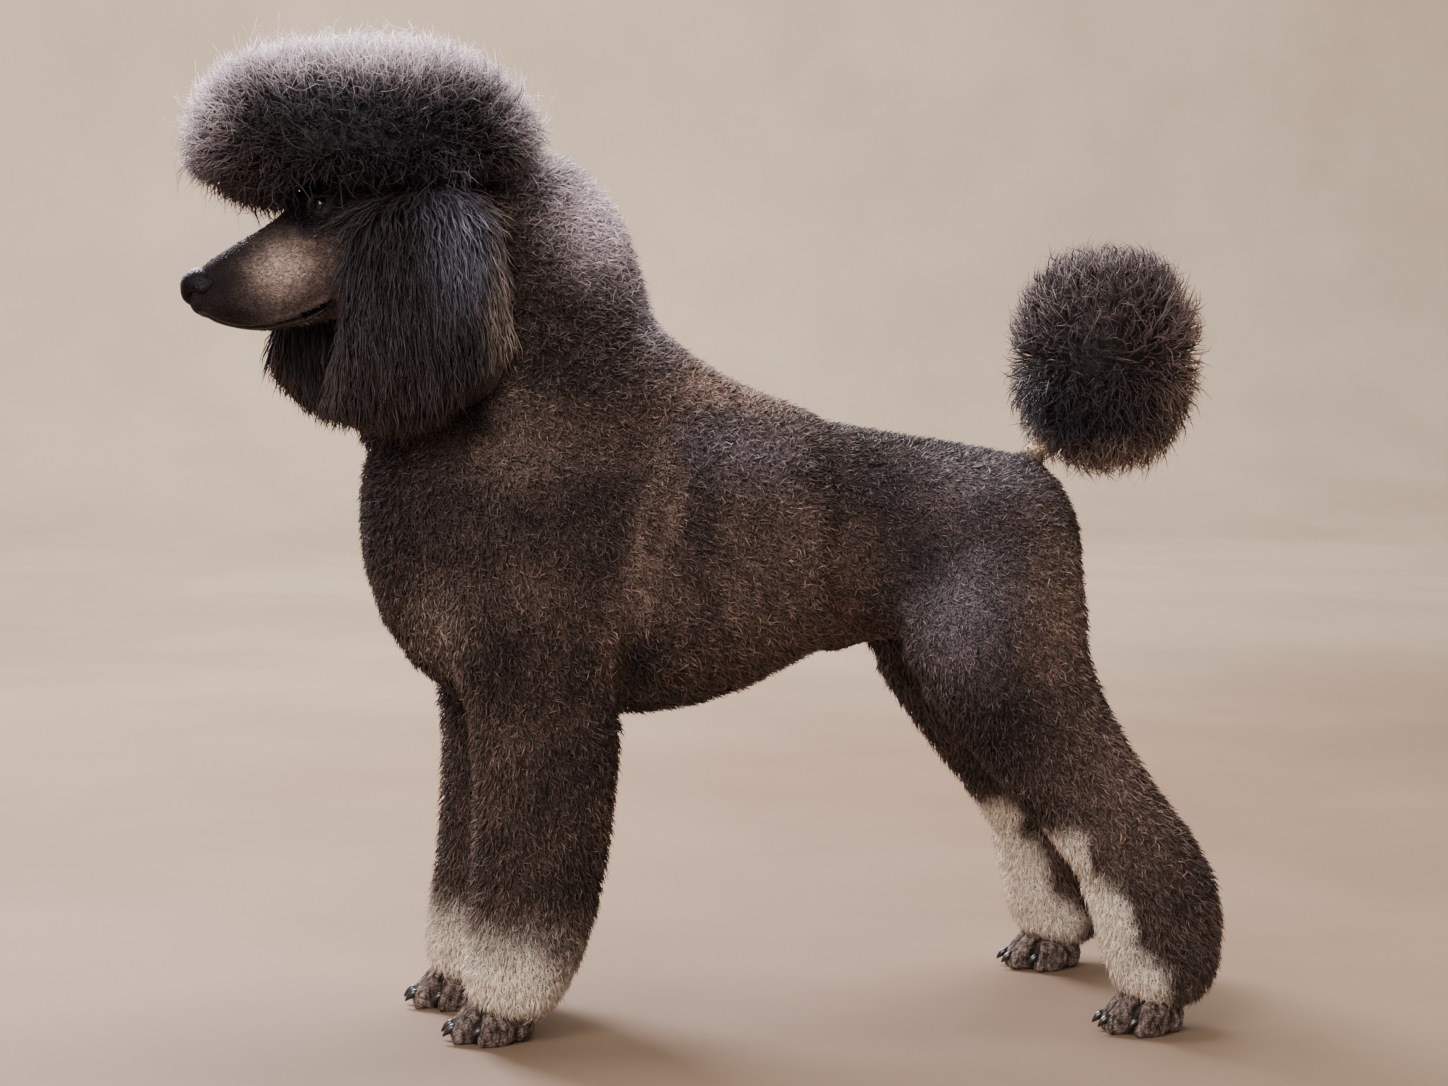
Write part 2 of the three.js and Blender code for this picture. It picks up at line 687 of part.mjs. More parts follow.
// Head: the face loft is parted into the skull, the muzzle and the lower jaw,
// with a socket for each eye and a seat for the nose leather.
function lids(side, grow = 0) {
  const ring = new THREE.TorusGeometry(EYE_RADIUS * 0.82, 2.6 + grow, 5, 12);
  ring.scale(1.12, 0.8, 1);
  ring.rotateX(Math.PI / 2);
  ring.rotateY(EYE_TILT);
  ring.rotateZ(-side * EYE_TURN);
  ring.rotateX(-side * EYE_ROLL);
  const [x, y, z] = eyeCentre(side);
  ring.translate(x - 3.0, y + side * LID_OUT, z + 0.8);
  return solid(ring);
}

// Half width of the face at a height, from its own slices
function faceHalf(x, z) {
  const i = HEAD.findIndex((s) => s.at < x);
  const [a, b] = [HEAD[i - 1], HEAD[i]];
  const t = (a.at - x) / (a.at - b.at);
  const mix = (key) => a[key] + (b[key] - a[key]) * t;
  const reach = z > mix('wide') ? mix('high') - mix('wide') : mix('wide') - mix('low');
  const rise = Math.min(1, Math.abs(z - mix('wide')) / reach);
  return mix('half') * Math.sqrt(1 - rise * rise);
}

// One upper lip: a soft roll over the line of the mouth, from the front of the
// muzzle to the corner.
function lip(side) {
  const rows = [-470, -462, -445, -425, -404, -384, -373].map((x, i, all) => {
    const z = mouthHeight(x) + LIP_RADIUS;
    const radius = i === 0 || i === all.length - 1 ? 0 : LIP_RADIUS;
    const across = side * (faceHalf(x, z) - LIP_RADIUS * 0.25);
    return slice(x, z - radius, z + radius, radius * 0.8, z, across);
  });
  return loft('x', rows, { around: 6 });
}

const nose = loft('x', NOSE, { around: 10 });
const nostrils = joined(sides.map(([side]) => joined([
  ball([-493, side * 8.5, 689], [6, 4.2, 3.6], 6, 4),
  ball([-487, side * 14.5, 686.5], [7, 4.5, 1.8], 6, 4),
])));
const eyeball = (side, grow = 0) =>
  ball(eyeCentre(side), Array(3).fill(EYE_RADIUS + grow), 10, 6);
const sockets = joined(sides.map(([side]) => eyeball(side, GAP)));
const eyeClear = joined(sides.flatMap(([side]) => [eyeball(side, GAP), lids(side, GAP)]));
const faceWhole = joined([face, ...sides.flatMap(([side]) => [lids(side), lip(side)])])
  .subtract(sockets)
  .subtract(loft('x', NOSE, { around: 10, grow: GAP }))
  .intersect(headSide);

const jawBlock = beyond(MOUTH_FRONT, MOUTH_WAY)
  .intersect(beyond([MOUTH_CORNER, 0, 0], [-1, 0, 0]));
const jawClear = beyond([MOUTH_FRONT[0], 0, MOUTH_FRONT[2] + MOUTH_GAP], MOUTH_WAY)
  .intersect(beyond([MOUTH_CORNER + GAP, 0, 0], [-1, 0, 0]));
const jaw = faceWhole.intersect(jawBlock).intersect(beyond([CHIN, 0, 0], [1, 0, 0]));
addNode('lower_jaw', jaw, FACE_COAT);
const muzzleCut = part(faceWhole.subtract(jawClear), [-402, 0, 700], [-0.93, 0, -0.37]);
addNode('skull', muzzleCut.left, FACE_COAT);
addNode('muzzle', muzzleCut.taken, FACE_COAT);
addNode('nose', nose.subtract(nostrils), NOSE_SKIN);
for (const [side, name] of sides) {
  addNode(`eye_${name}`, eyeball(side), EYE_GLOSS);
}

// What lies under the topknot and the ears, a gap larger
const skullGrown = loft('x', HEAD, { around: 16, square: 2.1, grow: GAP });
const maneGrown = coreOf(skinOf('z', NECK, { grow: 2 * GAP }), maneHeart, 7, 10);
const footGrown = loft('z', NECK, { around: 16, grow: GAP }).intersect(
  beyond([NECK_FOOT[0], 0, NECK_FOOT[2] + GAP], NECK_WAY.map((value) => -value)));
const headGrown = skullGrown.add(maneGrown).add(footGrown);
const crownSkin = skinOf('x', CROWN, CROWN_SQUARE);
const crownHeart = (tip) => new THREE.Vector3(
  Math.min(CROWN_BACK, Math.max(CROWN_FRONT, tip.x)), tip.y * CROWN_SPREAD, CROWN_FOOT);
const topknot = joined([
  coreOf(crownSkin, crownHeart, 7, 10),
  ...clumps({
    skin: crownSkin, heart: crownHeart, width: TOPKNOT_CLUMP, seed: 5, keep: offHead,
    slim: (tip) => (tip.z < RIM_TOP ? RIM_SLIM : 1),
  }),
]);
addNode('topknot', topknot.subtract(skullGrown).subtract(eyeClear), CROWN_COAT);

const crownGrown = crownForm(CROWN_SLACK + GAP);
for (const [side, name] of sides) {
  addNode(`ear_${name}`, hairyEar(side).subtract(headGrown).subtract(crownGrown)
    .subtract(trunkGrown).subtract(eyeClear), EAR_COAT);
}

const pomSkin = skinOf('z', POM);
const pomHeart = (tip) => new THREE.Vector3(POM_MIDDLE[0], 0, POM_MIDDLE[2])
  .lerp(tip, POM_FLESH);
const pomCore = coreOf(pomSkin, pomHeart, 6, 8);
const pomCurls = joined(clumps({
  skin: pomSkin, heart: pomHeart, width: POM_CLUMP, seed: 23,
})).subtract(tailStub(GAP));
addNode('tail_pom', pomCore.add(pomCurls), CROWN_COAT);
const pomCoreGrown = coreOf(skinOf('z', POM, { grow: 2 * GAP }), pomHeart, 6, 8);
addNode('tail', tailStub().subtract(pomCoreGrown).subtract(tailInside()), PALE_COAT);

// The tail stub starts on the rump's own surface.
function tailInside() {
  return beyond([TAIL_START.x, 0, TAIL_START.z], [-0.72, 0, -0.69]);
}

const PAWS = {
  fore_left: [-231, LEFT * FORE_TRACK, 0],
  fore_right: [-231 - FORE_LEAD, RIGHT * FORE_TRACK, 0],
  hind_left: [366, LEFT * HIND_TRACK, 0],
  hind_right: [366 - HIND_LEAD, RIGHT * HIND_TRACK, 0],
};
for (const [side, name] of sides) {
  const foreHem = loft('z', foreleg(side), { around: 14, square: 2.2, grow: GAP });
  const hindHem = loft('z', hindleg(side), { around: 14, square: 2.2, grow: GAP });
  const pastern = part(legs[`fore_${name}`], [0, 0, 105], [0, 0, -1]);
  addNode(`foreleg_${name}`, pastern.left, LEG_COAT);
  addNode(`fore_cuff_${name}`, pastern.taken, PALE_COAT);
  const stifle = part(legs[`hind_${name}`], [250, 0, 262], [0.62, 0, -0.78]);
  addNode(`thigh_${name}`, stifle.left, COAT);
  const hock = part(stifle.taken, [370, 0, 150], [0.15, 0, -0.99]);
  addNode(`shank_${name}`, hock.left, LEG_COAT);
  addNode(`hind_cuff_${name}`, hock.taken, PALE_COAT);
  for (const [where, hem] of [['fore', foreHem], ['hind', hindHem]]) {
    const at = PAWS[`${where}_${name}`];
    const foot = paw(at).subtract(hem);
    TOES.forEach((t, i) => {
      addNode(`${where}_claw_${name}_${i + 1}`, claw(t, at).subtract(grownPaw(at)), CLAW_HORN);
    });
    addNode(`${where}paw_${name}`, foot, PAW_SKIN);
  }
}

// The paw as its claws meet it
function grownPaw(at) {
  return joined(TOES.map((t) => {
    const rows = { ...t, reach: t.reach + GAP };
    return toe(rows, at);
  }));
}

// The origin is the middle of the whole on the floor.
root.updateMatrixWorld(true);
const whole = new THREE.Box3().setFromObject(root);
const centre = whole.getCenter(new THREE.Vector3());
root.position.set(-centre.x, -centre.y, -FLOOR);

export default root;
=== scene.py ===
"""A black-brown standard poodle in a clipped show coat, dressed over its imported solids."""

from __future__ import annotations

import logging  # noqa: E402
import math  # noqa: E402
from collections.abc import Sequence  # noqa: E402
from dataclasses import dataclass, field  # noqa: E402
from enum import Enum  # noqa: E402

import bpy  # noqa: E402
import numpy as np  # noqa: E402
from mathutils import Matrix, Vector, kdtree  # noqa: E402


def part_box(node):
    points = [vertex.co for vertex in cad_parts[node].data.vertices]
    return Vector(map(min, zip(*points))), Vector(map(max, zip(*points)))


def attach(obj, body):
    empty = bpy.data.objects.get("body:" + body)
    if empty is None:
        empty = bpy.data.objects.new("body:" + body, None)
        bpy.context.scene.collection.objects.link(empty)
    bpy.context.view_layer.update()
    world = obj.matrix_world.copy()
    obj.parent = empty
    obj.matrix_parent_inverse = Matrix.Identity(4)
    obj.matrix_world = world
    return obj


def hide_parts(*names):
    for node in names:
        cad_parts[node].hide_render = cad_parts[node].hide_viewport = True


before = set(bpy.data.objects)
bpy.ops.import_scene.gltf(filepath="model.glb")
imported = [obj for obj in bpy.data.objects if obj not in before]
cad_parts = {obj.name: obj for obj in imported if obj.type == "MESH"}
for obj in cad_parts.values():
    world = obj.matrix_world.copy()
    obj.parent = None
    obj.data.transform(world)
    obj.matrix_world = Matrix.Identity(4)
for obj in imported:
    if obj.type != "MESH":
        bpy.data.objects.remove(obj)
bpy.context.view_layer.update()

log = logging.getLogger("poodle")
MAP_NAME = "OFBake"
MAP_MARGIN = 0.012
MM = 0.001
TURN = 2 * math.pi
LEFT, RIGHT = -1, 1
SIDES = {LEFT: "left", RIGHT: "right"}
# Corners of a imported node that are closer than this, in metres, are one.
MERGE = 1e-5
# Faces are told apart by place, to this many steps in a metre.
FINE = 1e5
# Large primes that tell the cells of a grid apart.
CELL_PRIMES = np.array([73856093, 19349663, 83492791])
# Scatter draws this many points for each that it keeps, one to a cell this wide.
DRAWS, CELL = 3.0, 1.22

Array = np.ndarray
Object = bpy.types.Object
Material = bpy.types.Material
Outputs = bpy.types.NodeOutputs
Socket = bpy.types.NodeSocket
Tree = bpy.types.NodeTree
Triple = tuple[float, float, float]
Colour = tuple[float, float, float, float]
Value = Socket | float | Sequence[float]

# The drawing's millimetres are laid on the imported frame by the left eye.
EYE_AT = np.array([-371.0, -40.0, 764.0])
_eye_low, _eye_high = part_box("eye_left")
SHIFT = np.array((_eye_low + _eye_high) / 2) / MM - EYE_AT


def placed(points: Array | Sequence[float]) -> Array:
    """Points of the drawing, in millimetres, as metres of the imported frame."""
    return (np.asarray(points, float) + SHIFT) * MM


def drawn(points: Array) -> Array:
    """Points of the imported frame, in metres, as millimetres of the drawing."""
    return np.asarray(points, float) / MM - SHIFT


def folded(points: Array) -> Array:
    """Points of the drawing with the left half laid on the right."""
    return points * [1, 0, 1] + np.abs(points) * [0, 1, 0]


def eye_centre(side: int) -> Array:
    """The middle of one eye, in millimetres of the drawing."""
    return EYE_AT * [1, -side, 1]


def smooth(edge0: float, edge1: float, value: Array) -> Array:
    """A soft step from 0 at edge0 to 1 at edge1."""
    t = np.clip((value - edge0) / (edge1 - edge0), 0.0, 1.0)
    return t * t * (3.0 - 2.0 * t)


def unit(vectors: Array) -> Array:
    """Rows scaled to length 1."""
    length = np.linalg.norm(vectors, axis=-1, keepdims=True)
    return vectors / np.maximum(length, 1e-9)


def one_per_cell(points: Array, size: float) -> Array:
    """The numbers of a few of many points, one for each cell of a grid."""
    cell = np.floor(points / size).astype(np.int64)
    key = np.bitwise_xor.reduce(cell * CELL_PRIMES, axis=1)
    return np.unique(key, return_index=True)[1]


def on_map(u: Array, v: Array) -> Array:
    """Places on a flat map, a margin in from its edges."""
    return MAP_MARGIN + (1 - 2 * MAP_MARGIN) * np.clip(np.stack([u, v], axis=1), 0, 1)


def deselect() -> None:
    """Nothing is selected or active."""
    for obj in bpy.context.selected_objects:
        obj.select_set(False)
    bpy.context.view_layer.objects.active = None


def select(*objects: Object) -> None:
    """Only these objects are selected, and the first is active."""
    deselect()
    for obj in objects:
        obj.select_set(True)
    bpy.context.view_layer.objects.active = objects[0]


def linked(name: str, data: bpy.types.ID) -> Object:
    """A new object of the scene that holds some data."""
    obj = bpy.data.objects.new(name, data)
    bpy.context.scene.collection.objects.link(obj)
    return obj


def primitive(kind: str, name: str, **settings: object) -> Object:
    """A new mesh primitive.

    Args:
        kind: What Blender calls it, such as uv_sphere.
        name: Name of the object.
        settings: Its sizes.

    Returns:
        The object, selected and active.
    """
    deselect()
    getattr(bpy.ops.mesh, f"primitive_{kind}_add")(**settings)
    obj = bpy.context.view_layer.objects.active
    obj.name = name
    return obj


def edit_all(obj: Object, operator: str, **settings: object) -> None:
    """Runs one operator of edit mode on the whole of an object.

    Args:
        obj: The object.
        operator: Its name in bpy.ops.mesh.
        settings: Its settings.
    """
    select(obj)
    bpy.ops.object.mode_set(mode="EDIT")
    bpy.ops.mesh.select_all(action="SELECT")
    getattr(bpy.ops.mesh, operator)(**settings)
    bpy.ops.object.mode_set(mode="OBJECT")


def copy_node(name: str) -> Object:
    """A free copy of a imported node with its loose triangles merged.

    Args:
        name: The node.

    Returns:
        The copy.
    """
    obj = linked(f"copy_{name}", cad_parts[name].data.copy())
    obj.data.materials.clear()
    edit_all(obj, "remove_doubles", threshold=MERGE)
    return obj


def join(objects: Sequence[Object], name: str) -> Object:
    """Several objects made one.

    Args:
        objects: What is joined; they are used up.
        name: The name of the whole.

    Returns:
        The joined object.
    """
    select(*objects)
    bpy.ops.object.join()
    whole = bpy.context.view_layer.objects.active
    whole.name = name
    whole.data.name = name
    return whole


def shade_smooth(obj: Object) -> None:
    """Shades the whole of an object smoothly."""
    select(obj)
    bpy.ops.object.shade_smooth()


def apply_modifier(obj: Object, kind: str, **settings: object) -> None:
    """Adds one modifier with its settings and applies it.

    Args:
        obj: The object.
        kind: The modifier's type.
        settings: Its settings.
    """
    select(obj)
    modifier = obj.modifiers.new(kind.lower(), kind)
    for key, value in settings.items():
        setattr(modifier, key, value)
    bpy.ops.object.modifier_apply(modifier=modifier.name)


def relax(obj: Object, rounds: int) -> None:
    """Smooths a form by rounds of the Smooth modifier."""
    apply_modifier(obj, "SMOOTH", factor=0.5, iterations=rounds)


def remesh(obj: Object, voxel: float, rounds: int) -> Object:
    """One closed skin over all that an object holds.

    Args:
        obj: The object, changed in place.
        voxel: Size of the grid in metres.
        rounds: Rounds of smoothing.

    Returns:
        The same object.
    """
    apply_modifier(obj, "REMESH", mode="VOXEL", voxel_size=voxel, use_smooth_shade=True)
    relax(obj, rounds)
    return obj


def read(
    items: bpy.types.bpy_prop_collection, key: str, width: int, kind: type = np.float32
) -> Array:
    """One property of all the items of a mesh, in rows of a width."""
    out = np.empty(len(items) * width, kind)
    items.foreach_get(key, out)
    return out.reshape(-1, width)


def vertices(obj: Object) -> Array:
    """The places of an object's vertices."""
    return read(obj.data.vertices, "co", 3).astype(float)


def vertex_normals(obj: Object) -> Array:
    """The outward directions at an object's vertices."""
    return read(obj.data.vertex_normals, "vector", 3).astype(float)


def set_vertices(obj: Object, co: Array) -> None:
    """Moves an object's vertices to new places."""
    obj.data.vertices.foreach_set("co", np.asarray(co, np.float32).ravel())
    obj.data.update()


def stand_out(obj: Object, push: Array | float) -> None:
    """Moves an object's vertices outwards, each by its own push in millimetres."""
    push = np.asarray(push)[..., None]
    set_vertices(obj, vertices(obj) + vertex_normals(obj) * push * MM)


def set_numbers(obj: Object, name: str, numbers: Array) -> None:
    """Keeps a number for each vertex as an attribute, for the materials to read."""
    attribute = obj.data.attributes.new(name, "FLOAT", "POINT")
    attribute.data.foreach_set("value", numbers.astype(np.float32))


def set_map(obj: Object, uv: Array) -> None:
    """Lays each vertex of an object at its place on the object's one map.

    Args:
        obj: The object.
        uv: A place for each vertex.
    """
    layer = obj.data.uv_layers.active or obj.data.uv_layers.new(name=MAP_NAME)
    layer.name = MAP_NAME
    corner = read(obj.data.loops, "vertex_index", 1, np.int32)[:, 0]
    layer.data.foreach_set("uv", uv[corner].astype(np.float32).ravel())


def remove(*objects: Object) -> None:
    """Takes helper objects and their meshes away."""
    for obj in objects:
        mesh = obj.data
        bpy.data.objects.remove(obj)
        bpy.data.meshes.remove(mesh)


@dataclass(frozen=True)
class Surface:
    """A surface as arrays, for setting hair on it."""

    co: Array
    normal: Array
    tris: Array

    @classmethod
    def of(cls, obj: Object) -> Surface:
        """Reads an object's triangles, in the order of their places.

        A remeshed form lists its faces in another order each time.

        Args:
            obj: The object.

        Returns:
            Its surface.
        """
        obj.data.calc_loop_triangles()
        tris, co = read(obj.data.loop_triangles, "vertices", 3, np.int32), vertices(obj)
        order = np.lexsort(np.round(co[tris].mean(axis=1) * FINE).T)
        return cls(co, vertex_normals(obj), tris[order])

    def scatter(
        self, spacing: float, rng: np.random.Generator
    ) -> tuple[Array, Array]:
        """Points set evenly over the surface.

        Args:
            spacing: About how far apart they are, in metres.
            rng: Source of the draws.

        Returns:
            Places and outward directions.
        """
        a, b, c = (self.co[self.tris[:, i]] for i in range(3))
        area = np.linalg.norm(np.cross(b - a, c - a), axis=1) / 2
        count = int(area.sum() / spacing**2 * DRAWS)
        pick = rng.choice(len(area), size=count, p=area / area.sum())
        u, v = rng.random(count), rng.random(count)
        over = u + v > 1
        u[over], v[over] = 1 - u[over], 1 - v[over]
        w = np.stack([1 - u - v, u, v], axis=1)[:, :, None]
        corners = self.tris[pick]
        point = (self.co[corners] * w).sum(1)
        way = unit((self.normal[corners] * w).sum(1))
        kept = np.sort(one_per_cell(point, spacing * CELL))
        return point[kept], way[kept]


def mesh_object(
    name: str, co: Array, tris: Array, uv: Array, values: dict[str, Array]
) -> Object:
    """An object from arrays.

    Args:
        name: Its name.
        co: Places of the vertices.
        tris: Corners of the triangles.
        uv: Place of each vertex on the object's map.
        values: A number for each vertex, by attribute name.

    Returns:
        The object, linked to the scene.
    """
    mesh = bpy.data.meshes.new(name)
    mesh.vertices.add(len(co))
    mesh.vertices.foreach_set("co", co.astype(np.float32).ravel())
    mesh.loops.add(tris.size)
    mesh.loops.foreach_set("vertex_index", tris.astype(np.int32).ravel())
    mesh.polygons.add(len(tris))
    mesh.polygons.foreach_set("loop_start", np.arange(0, tris.size, 3, dtype=np.int32))
    mesh.polygons.foreach_set("use_smooth", np.ones(len(tris), bool))
    mesh.update(calc_edges=True)
    obj = linked(name, mesh)
    set_map(obj, uv)
    for key, numbers in values.items():
        set_numbers(obj, key, numbers)
    return obj


class Axis(Enum):
    """The coordinate that a form runs along, by its number."""

    X = 0
    Z = 2

    @property
    def other(self) -> int:
        """The number of the coordinate in which its slices have a low and a high."""
        return 2 - self.value


@dataclass(frozen=True)
class Form:
    """A smooth hair form through slices, in millimetres of the drawing.

    Each slice is (place on the axis, low, high, half width, widest level, middle
    across). Along x the second axis is z, and along z it is x. A higher square or
    under makes the upper or lower half of the slices fuller than an ellipse.
    """

    axis: Axis
    rows: tuple[tuple[float, ...], ...]
    square: float = 2.0
    under: float = 2.0

    def _curve(self, t: Array) -> Array:
        """All six sizes at shares t along the form, on a Catmull-Rom curve.

        Args:
            t: Shares from 0 to 1.

        Returns:
            The sizes in rows.
        """
        rows = np.array(self.rows, float)
        rows = np.vstack([2 * rows[0] - rows[1], rows, 2 * rows[-1] - rows[-2]])
        s = np.clip(t, 0, 1) * (len(self.rows) - 1)
        i = np.minimum(s.astype(int), len(self.rows) - 2)
        f = (s - i)[:, None]
        p0, p1, p2, p3 = rows[i], rows[i + 1], rows[i + 2], rows[i + 3]
        return 0.5 * (
            2 * p1
            + (p2 - p0) * f
            + (2 * p0 - 5 * p1 + 4 * p2 - p3) * f**2
            + (3 * p1 - 3 * p2 + p3 - p0) * f**3
        )

    def points(self, t: Array, turn: Array) -> Array:
        """Points of the form at shares along it and turns about it.

        Args:
            t: Shares from 0 to 1.
            turn: Turns in radians.

        Returns:
            The points.
        """
        at, low, high, half, wide, side = self._curve(t).T
        rise, across = np.sin(turn), np.cos(turn)
        power = 2 / np.where(rise >= 0, self.square, self.under)
        reach = np.where(rise >= 0, high - wide, wide - low)
        second = wide + reach * np.sign(rise) * np.abs(rise) ** power
        y = side + np.maximum(half, 0) * np.sign(across) * np.abs(across) ** power
        order = (at, y, second) if self.axis is Axis.X else (second, y, at)
        return np.stack(order, axis=1)

    def build(self, name: str, around: int = 72, along: int = 64) -> Object:
        """The form as a closed ball of rings at its place.

        Args:
            name: Name of the object.
            around: Corners of a ring.
            along: Rings from end to end.

        Returns:
            The object.
        """
        obj = primitive("uv_sphere", name, segments=around, ring_count=along, radius=1)
        ball = vertices(obj)
        share = np.arccos(np.clip(ball[:, 2], -1, 1)) / math.pi
        turn = np.arctan2(ball[:, 1], ball[:, 0])
        turn[(share < 1e-4) | (share > 1 - 1e-4)] = 0.0
        set_vertices(obj, placed(self.points(share, turn)))
        edit_all(obj, "normals_make_consistent", inside=False)
        return obj


CROWN = Form(Axis.X, (
    (-499, 808, 820, 0, 814, 0), (-490, 792, 856, 38, 820, 0), (-468, 778, 884, 68, 826, 0),
    (-438, 762, 903, 90, 824, 0), (-398, 757, 914, 106, 820, 0), (-350, 768, 918, 115, 818, 0),
    (-300, 770, 919, 118, 818, 0), (-250, 771, 911, 113, 820, 0), (-210, 774, 890, 99, 822, 0),
    (-180, 787, 860, 70, 824, 0), (-165, 816, 830, 0, 823, 0),
), 2.1, 2.7)
NECK = Form(Axis.Z, (
    (822, -215, -180, 0, -200, 0), (806, -262, -138, 50, -200, 0),
    (770, -292, -104, 76, -195, 0), (735, -312, -86, 88, -190, 0),
    (698, -324, -74, 94, -185, 0), (660, -332, -62, 98, -180, 0),
    (620, -337, -18, 108, -165, 0), (580, -338, 20, 114, -150, 0),
    (540, -325, 10, 100, -150, 0), (510, -180, -140, 0, -160, 0),
))
POM = Form(Axis.Z, (
    (514, 358, 378, 0, 368, 0), (525, 322, 416, 44, 368, 0), (550, 293, 441, 67, 368, 0),
    (585, 278, 456, 80, 368, 0), (620, 274, 461, 85, 368, 0), (655, 278, 460, 84, 368, 0),
    (690, 291, 448, 74, 368, 0), (717, 316, 424, 50, 368, 0), (730, 358, 378, 0, 368, 0),
))
# The ears' upper end and height, and how far the right ear is led forward, within how far
# down, and how much lower it ends.
EAR_TOP, EAR_HEIGHT = 790, 228
EAR_LEAD, EAR_LEAD_RUN, EAR_DROP = 16.0, 150, 8.0
# Where the hair of each ear ends below, by its place along x.
EAR_HEM = {
    LEFT: ((-392, 606), (-381, 578), (-362, 563), (-338, 557), (-300, 552), (-268, 562),
           (-236, 598), (-214, 622)),
    RIGHT: ((-430, 636), (-421, 606), (-410, 588), (-390, 568), (-362, 552), (-300, 545),
            (-262, 556), (-236, 590)),
}
# The last number is how much further forward the right ear's front edge hangs.
EAR_ROWS = (
    (790, -275, -255, 0, 66, 0), (781, -303, -240, 13, 74, 4), (765, -338, -226, 20, 86, 14),
    (735, -353, -217, 23, 98, 24), (700, -357, -212, 25, 106, 40),
    (660, -362, -207, 27, 111, 54), (620, -371, -209, 28, 111, 52),
    (594, -378, -222, 27, 108, 28), (575, -366, -256, 22, 105, 16),
    (562, -336, -300, 0, 103, 4),
)


def ear_form(side: int) -> Form:
    """The hair form of one ear; the right one swings further forward and lower.

    Args:
        side: LEFT or RIGHT.

    Returns:
        The form.
    """
    rows = []
    for z, low, high, half, across, fore in EAR_ROWS:
        if side == RIGHT:
            low -= fore
            high -= EAR_LEAD * min(1.0, (EAR_TOP - z) / EAR_LEAD_RUN)
            z -= EAR_DROP * (EAR_TOP - z) / EAR_HEIGHT
        rows.append((z, low, high, half, (low + high) / 2, side * across))
    return Form(Axis.Z, tuple(rows), 2.2, 2.2)


@dataclass(frozen=True)
class Unwrap:
    """A flat map of a form: the turn about its axis, and the way along it.

    The axis is a row of points of the drawing, in millimetres, that runs along x or z.
    A squash over 1 evens out the turns of a form that is flat across.
    """

    axis: Axis
    line: tuple[Triple, ...]
    squash: float = 1.0

    def lay(self, points: Array) -> Array:
        """Places on the map of points of the drawing.

        Args:
            points: The points.

        Returns:
            A place for each point.
        """
        key, other = self.axis.value, self.axis.other
        line = np.array(sorted(self.line, key=lambda corner: corner[key]))
        run = points[:, key]
        second = points[:, other] - np.interp(run, line[:, key], line[:, other])
        across = points[:, 1] - np.interp(run, line[:, key], line[:, 1])
        u = np.arctan2(across * self.squash, second) / TURN + 0.5
        return on_map(u, (run - line[0, key]) / (line[-1, key] - line[0, key]))


@dataclass(frozen=True)
class BallUnwrap:
    """A flat map of a rounded form: the bearing from its heart, and the slope."""

    heart: Triple

    def lay(self, points: Array) -> Array:
        """Places on the map of points of the drawing."""
        way = unit(points - np.array(self.heart))
        u = np.arctan2(way[:, 1], way[:, 0]) / TURN + 0.5
        return on_map(u, np.arccos(np.clip(-way[:, 2], -1, 1)) / math.pi)


@dataclass(frozen=True)
class Strand:
    """How one layer of tufts is shaped, in millimetres.

    A tuft is a closed spindle of three sides that bends and waves. Its length is what
    reaches the outer form of the coat, unless one is given.
    """

    width: float
    length: float = 0.0
    root_lean: float = 0.2
    tip_lean: float = 0.5
    vary: float = 0.12
    stray: float = 0.45
    curl: float = 1.0
    turns: float = 0.8
    rings: int = 1
    clump: float = 9.0
    pull: float = 0.2
    fly: float = 0.06
    fly_reach: float = 1.25
    fly_width: float = 0.6
    together: float = 0.5
    taper: float = 1.5
    shade: tuple[float, float] = (0.0, 1.0)


TUFT_SIDES = 3
# Share of the map that a tuft's own patch spreads over.
TUFT_PATCH = 0.003
# How thick a tuft is at shares of its length, and how far it sways sideways in a wave.
GIRTH = ((0.0, 0.12, 0.6, 1.0), (0.0, 1.0, 0.75, 0.0))
SIDEWAYS = 0.7
# How much of its stray a tuft has at its root and at its tip.
ROOT_STRAY, TIP_STRAY = 0.4, 0.6
# A slanting tuft is lengthened by its rise, down to this one.
LEAST_RISE = 0.45
# Tufts end a little short of the form, as their lengths vary round it.
REACH = 0.97
# Stray tufts are drawn to their neighbours by this share of the others' pull.
FLY_PULL = 0.1
# How much tufts vary in the start of their waves, where these are alike, in their turns,
# and how much of that is left where they are alike, in their curl and in their width.
PHASE_SPREAD, TURNS_SPREAD, ALIKE = 0.4, 0.35, 0.3
CURL_SPREAD, WIDTH_SPREAD = (-0.5, 0.7), 0.25


@dataclass
class Tufts:
    """Tufts as arrays, before they become a mesh."""

    co: Array
    tris: Array
    uv: Array
    along: Array
    shade: Array

    @classmethod
    def joined(cls, parts: Sequence[Tufts]) -> Tufts:
        """Several sets of tufts as one.

        Args:
            parts: The sets.

        Returns:
            All their tufts.
        """
        first = np.cumsum([0] + [len(part.co) for part in parts[:-1]])
        tris = np.concatenate([part.tris + at for part, at in zip(parts, first)])
        co, uv, along, shade = (
            np.concatenate([getattr(part, key) for part in parts])
            for key in ("co", "uv", "along", "shade")
        )
        return cls(co, tris, uv, along, shade)

    def mesh(self, name: str) -> Object:
        """The tufts as one object."""
        values = {"strand_along": self.along, "strand_shade": self.shade}
        return mesh_object(name, self.co, self.tris, self.uv, values)


def nearest(points: Array, centres: Array) -> Array:
    """For each point, the number of the nearest centre.

    Args:
        points: The points.
        centres: The centres.

    Returns:
        A number for each point.
    """
    tree = kdtree.KDTree(len(centres))
    for i, centre in enumerate(centres):
        tree.insert(centre, i)
    tree.balance()
    return np.array([tree.find(p)[1] for p in points])


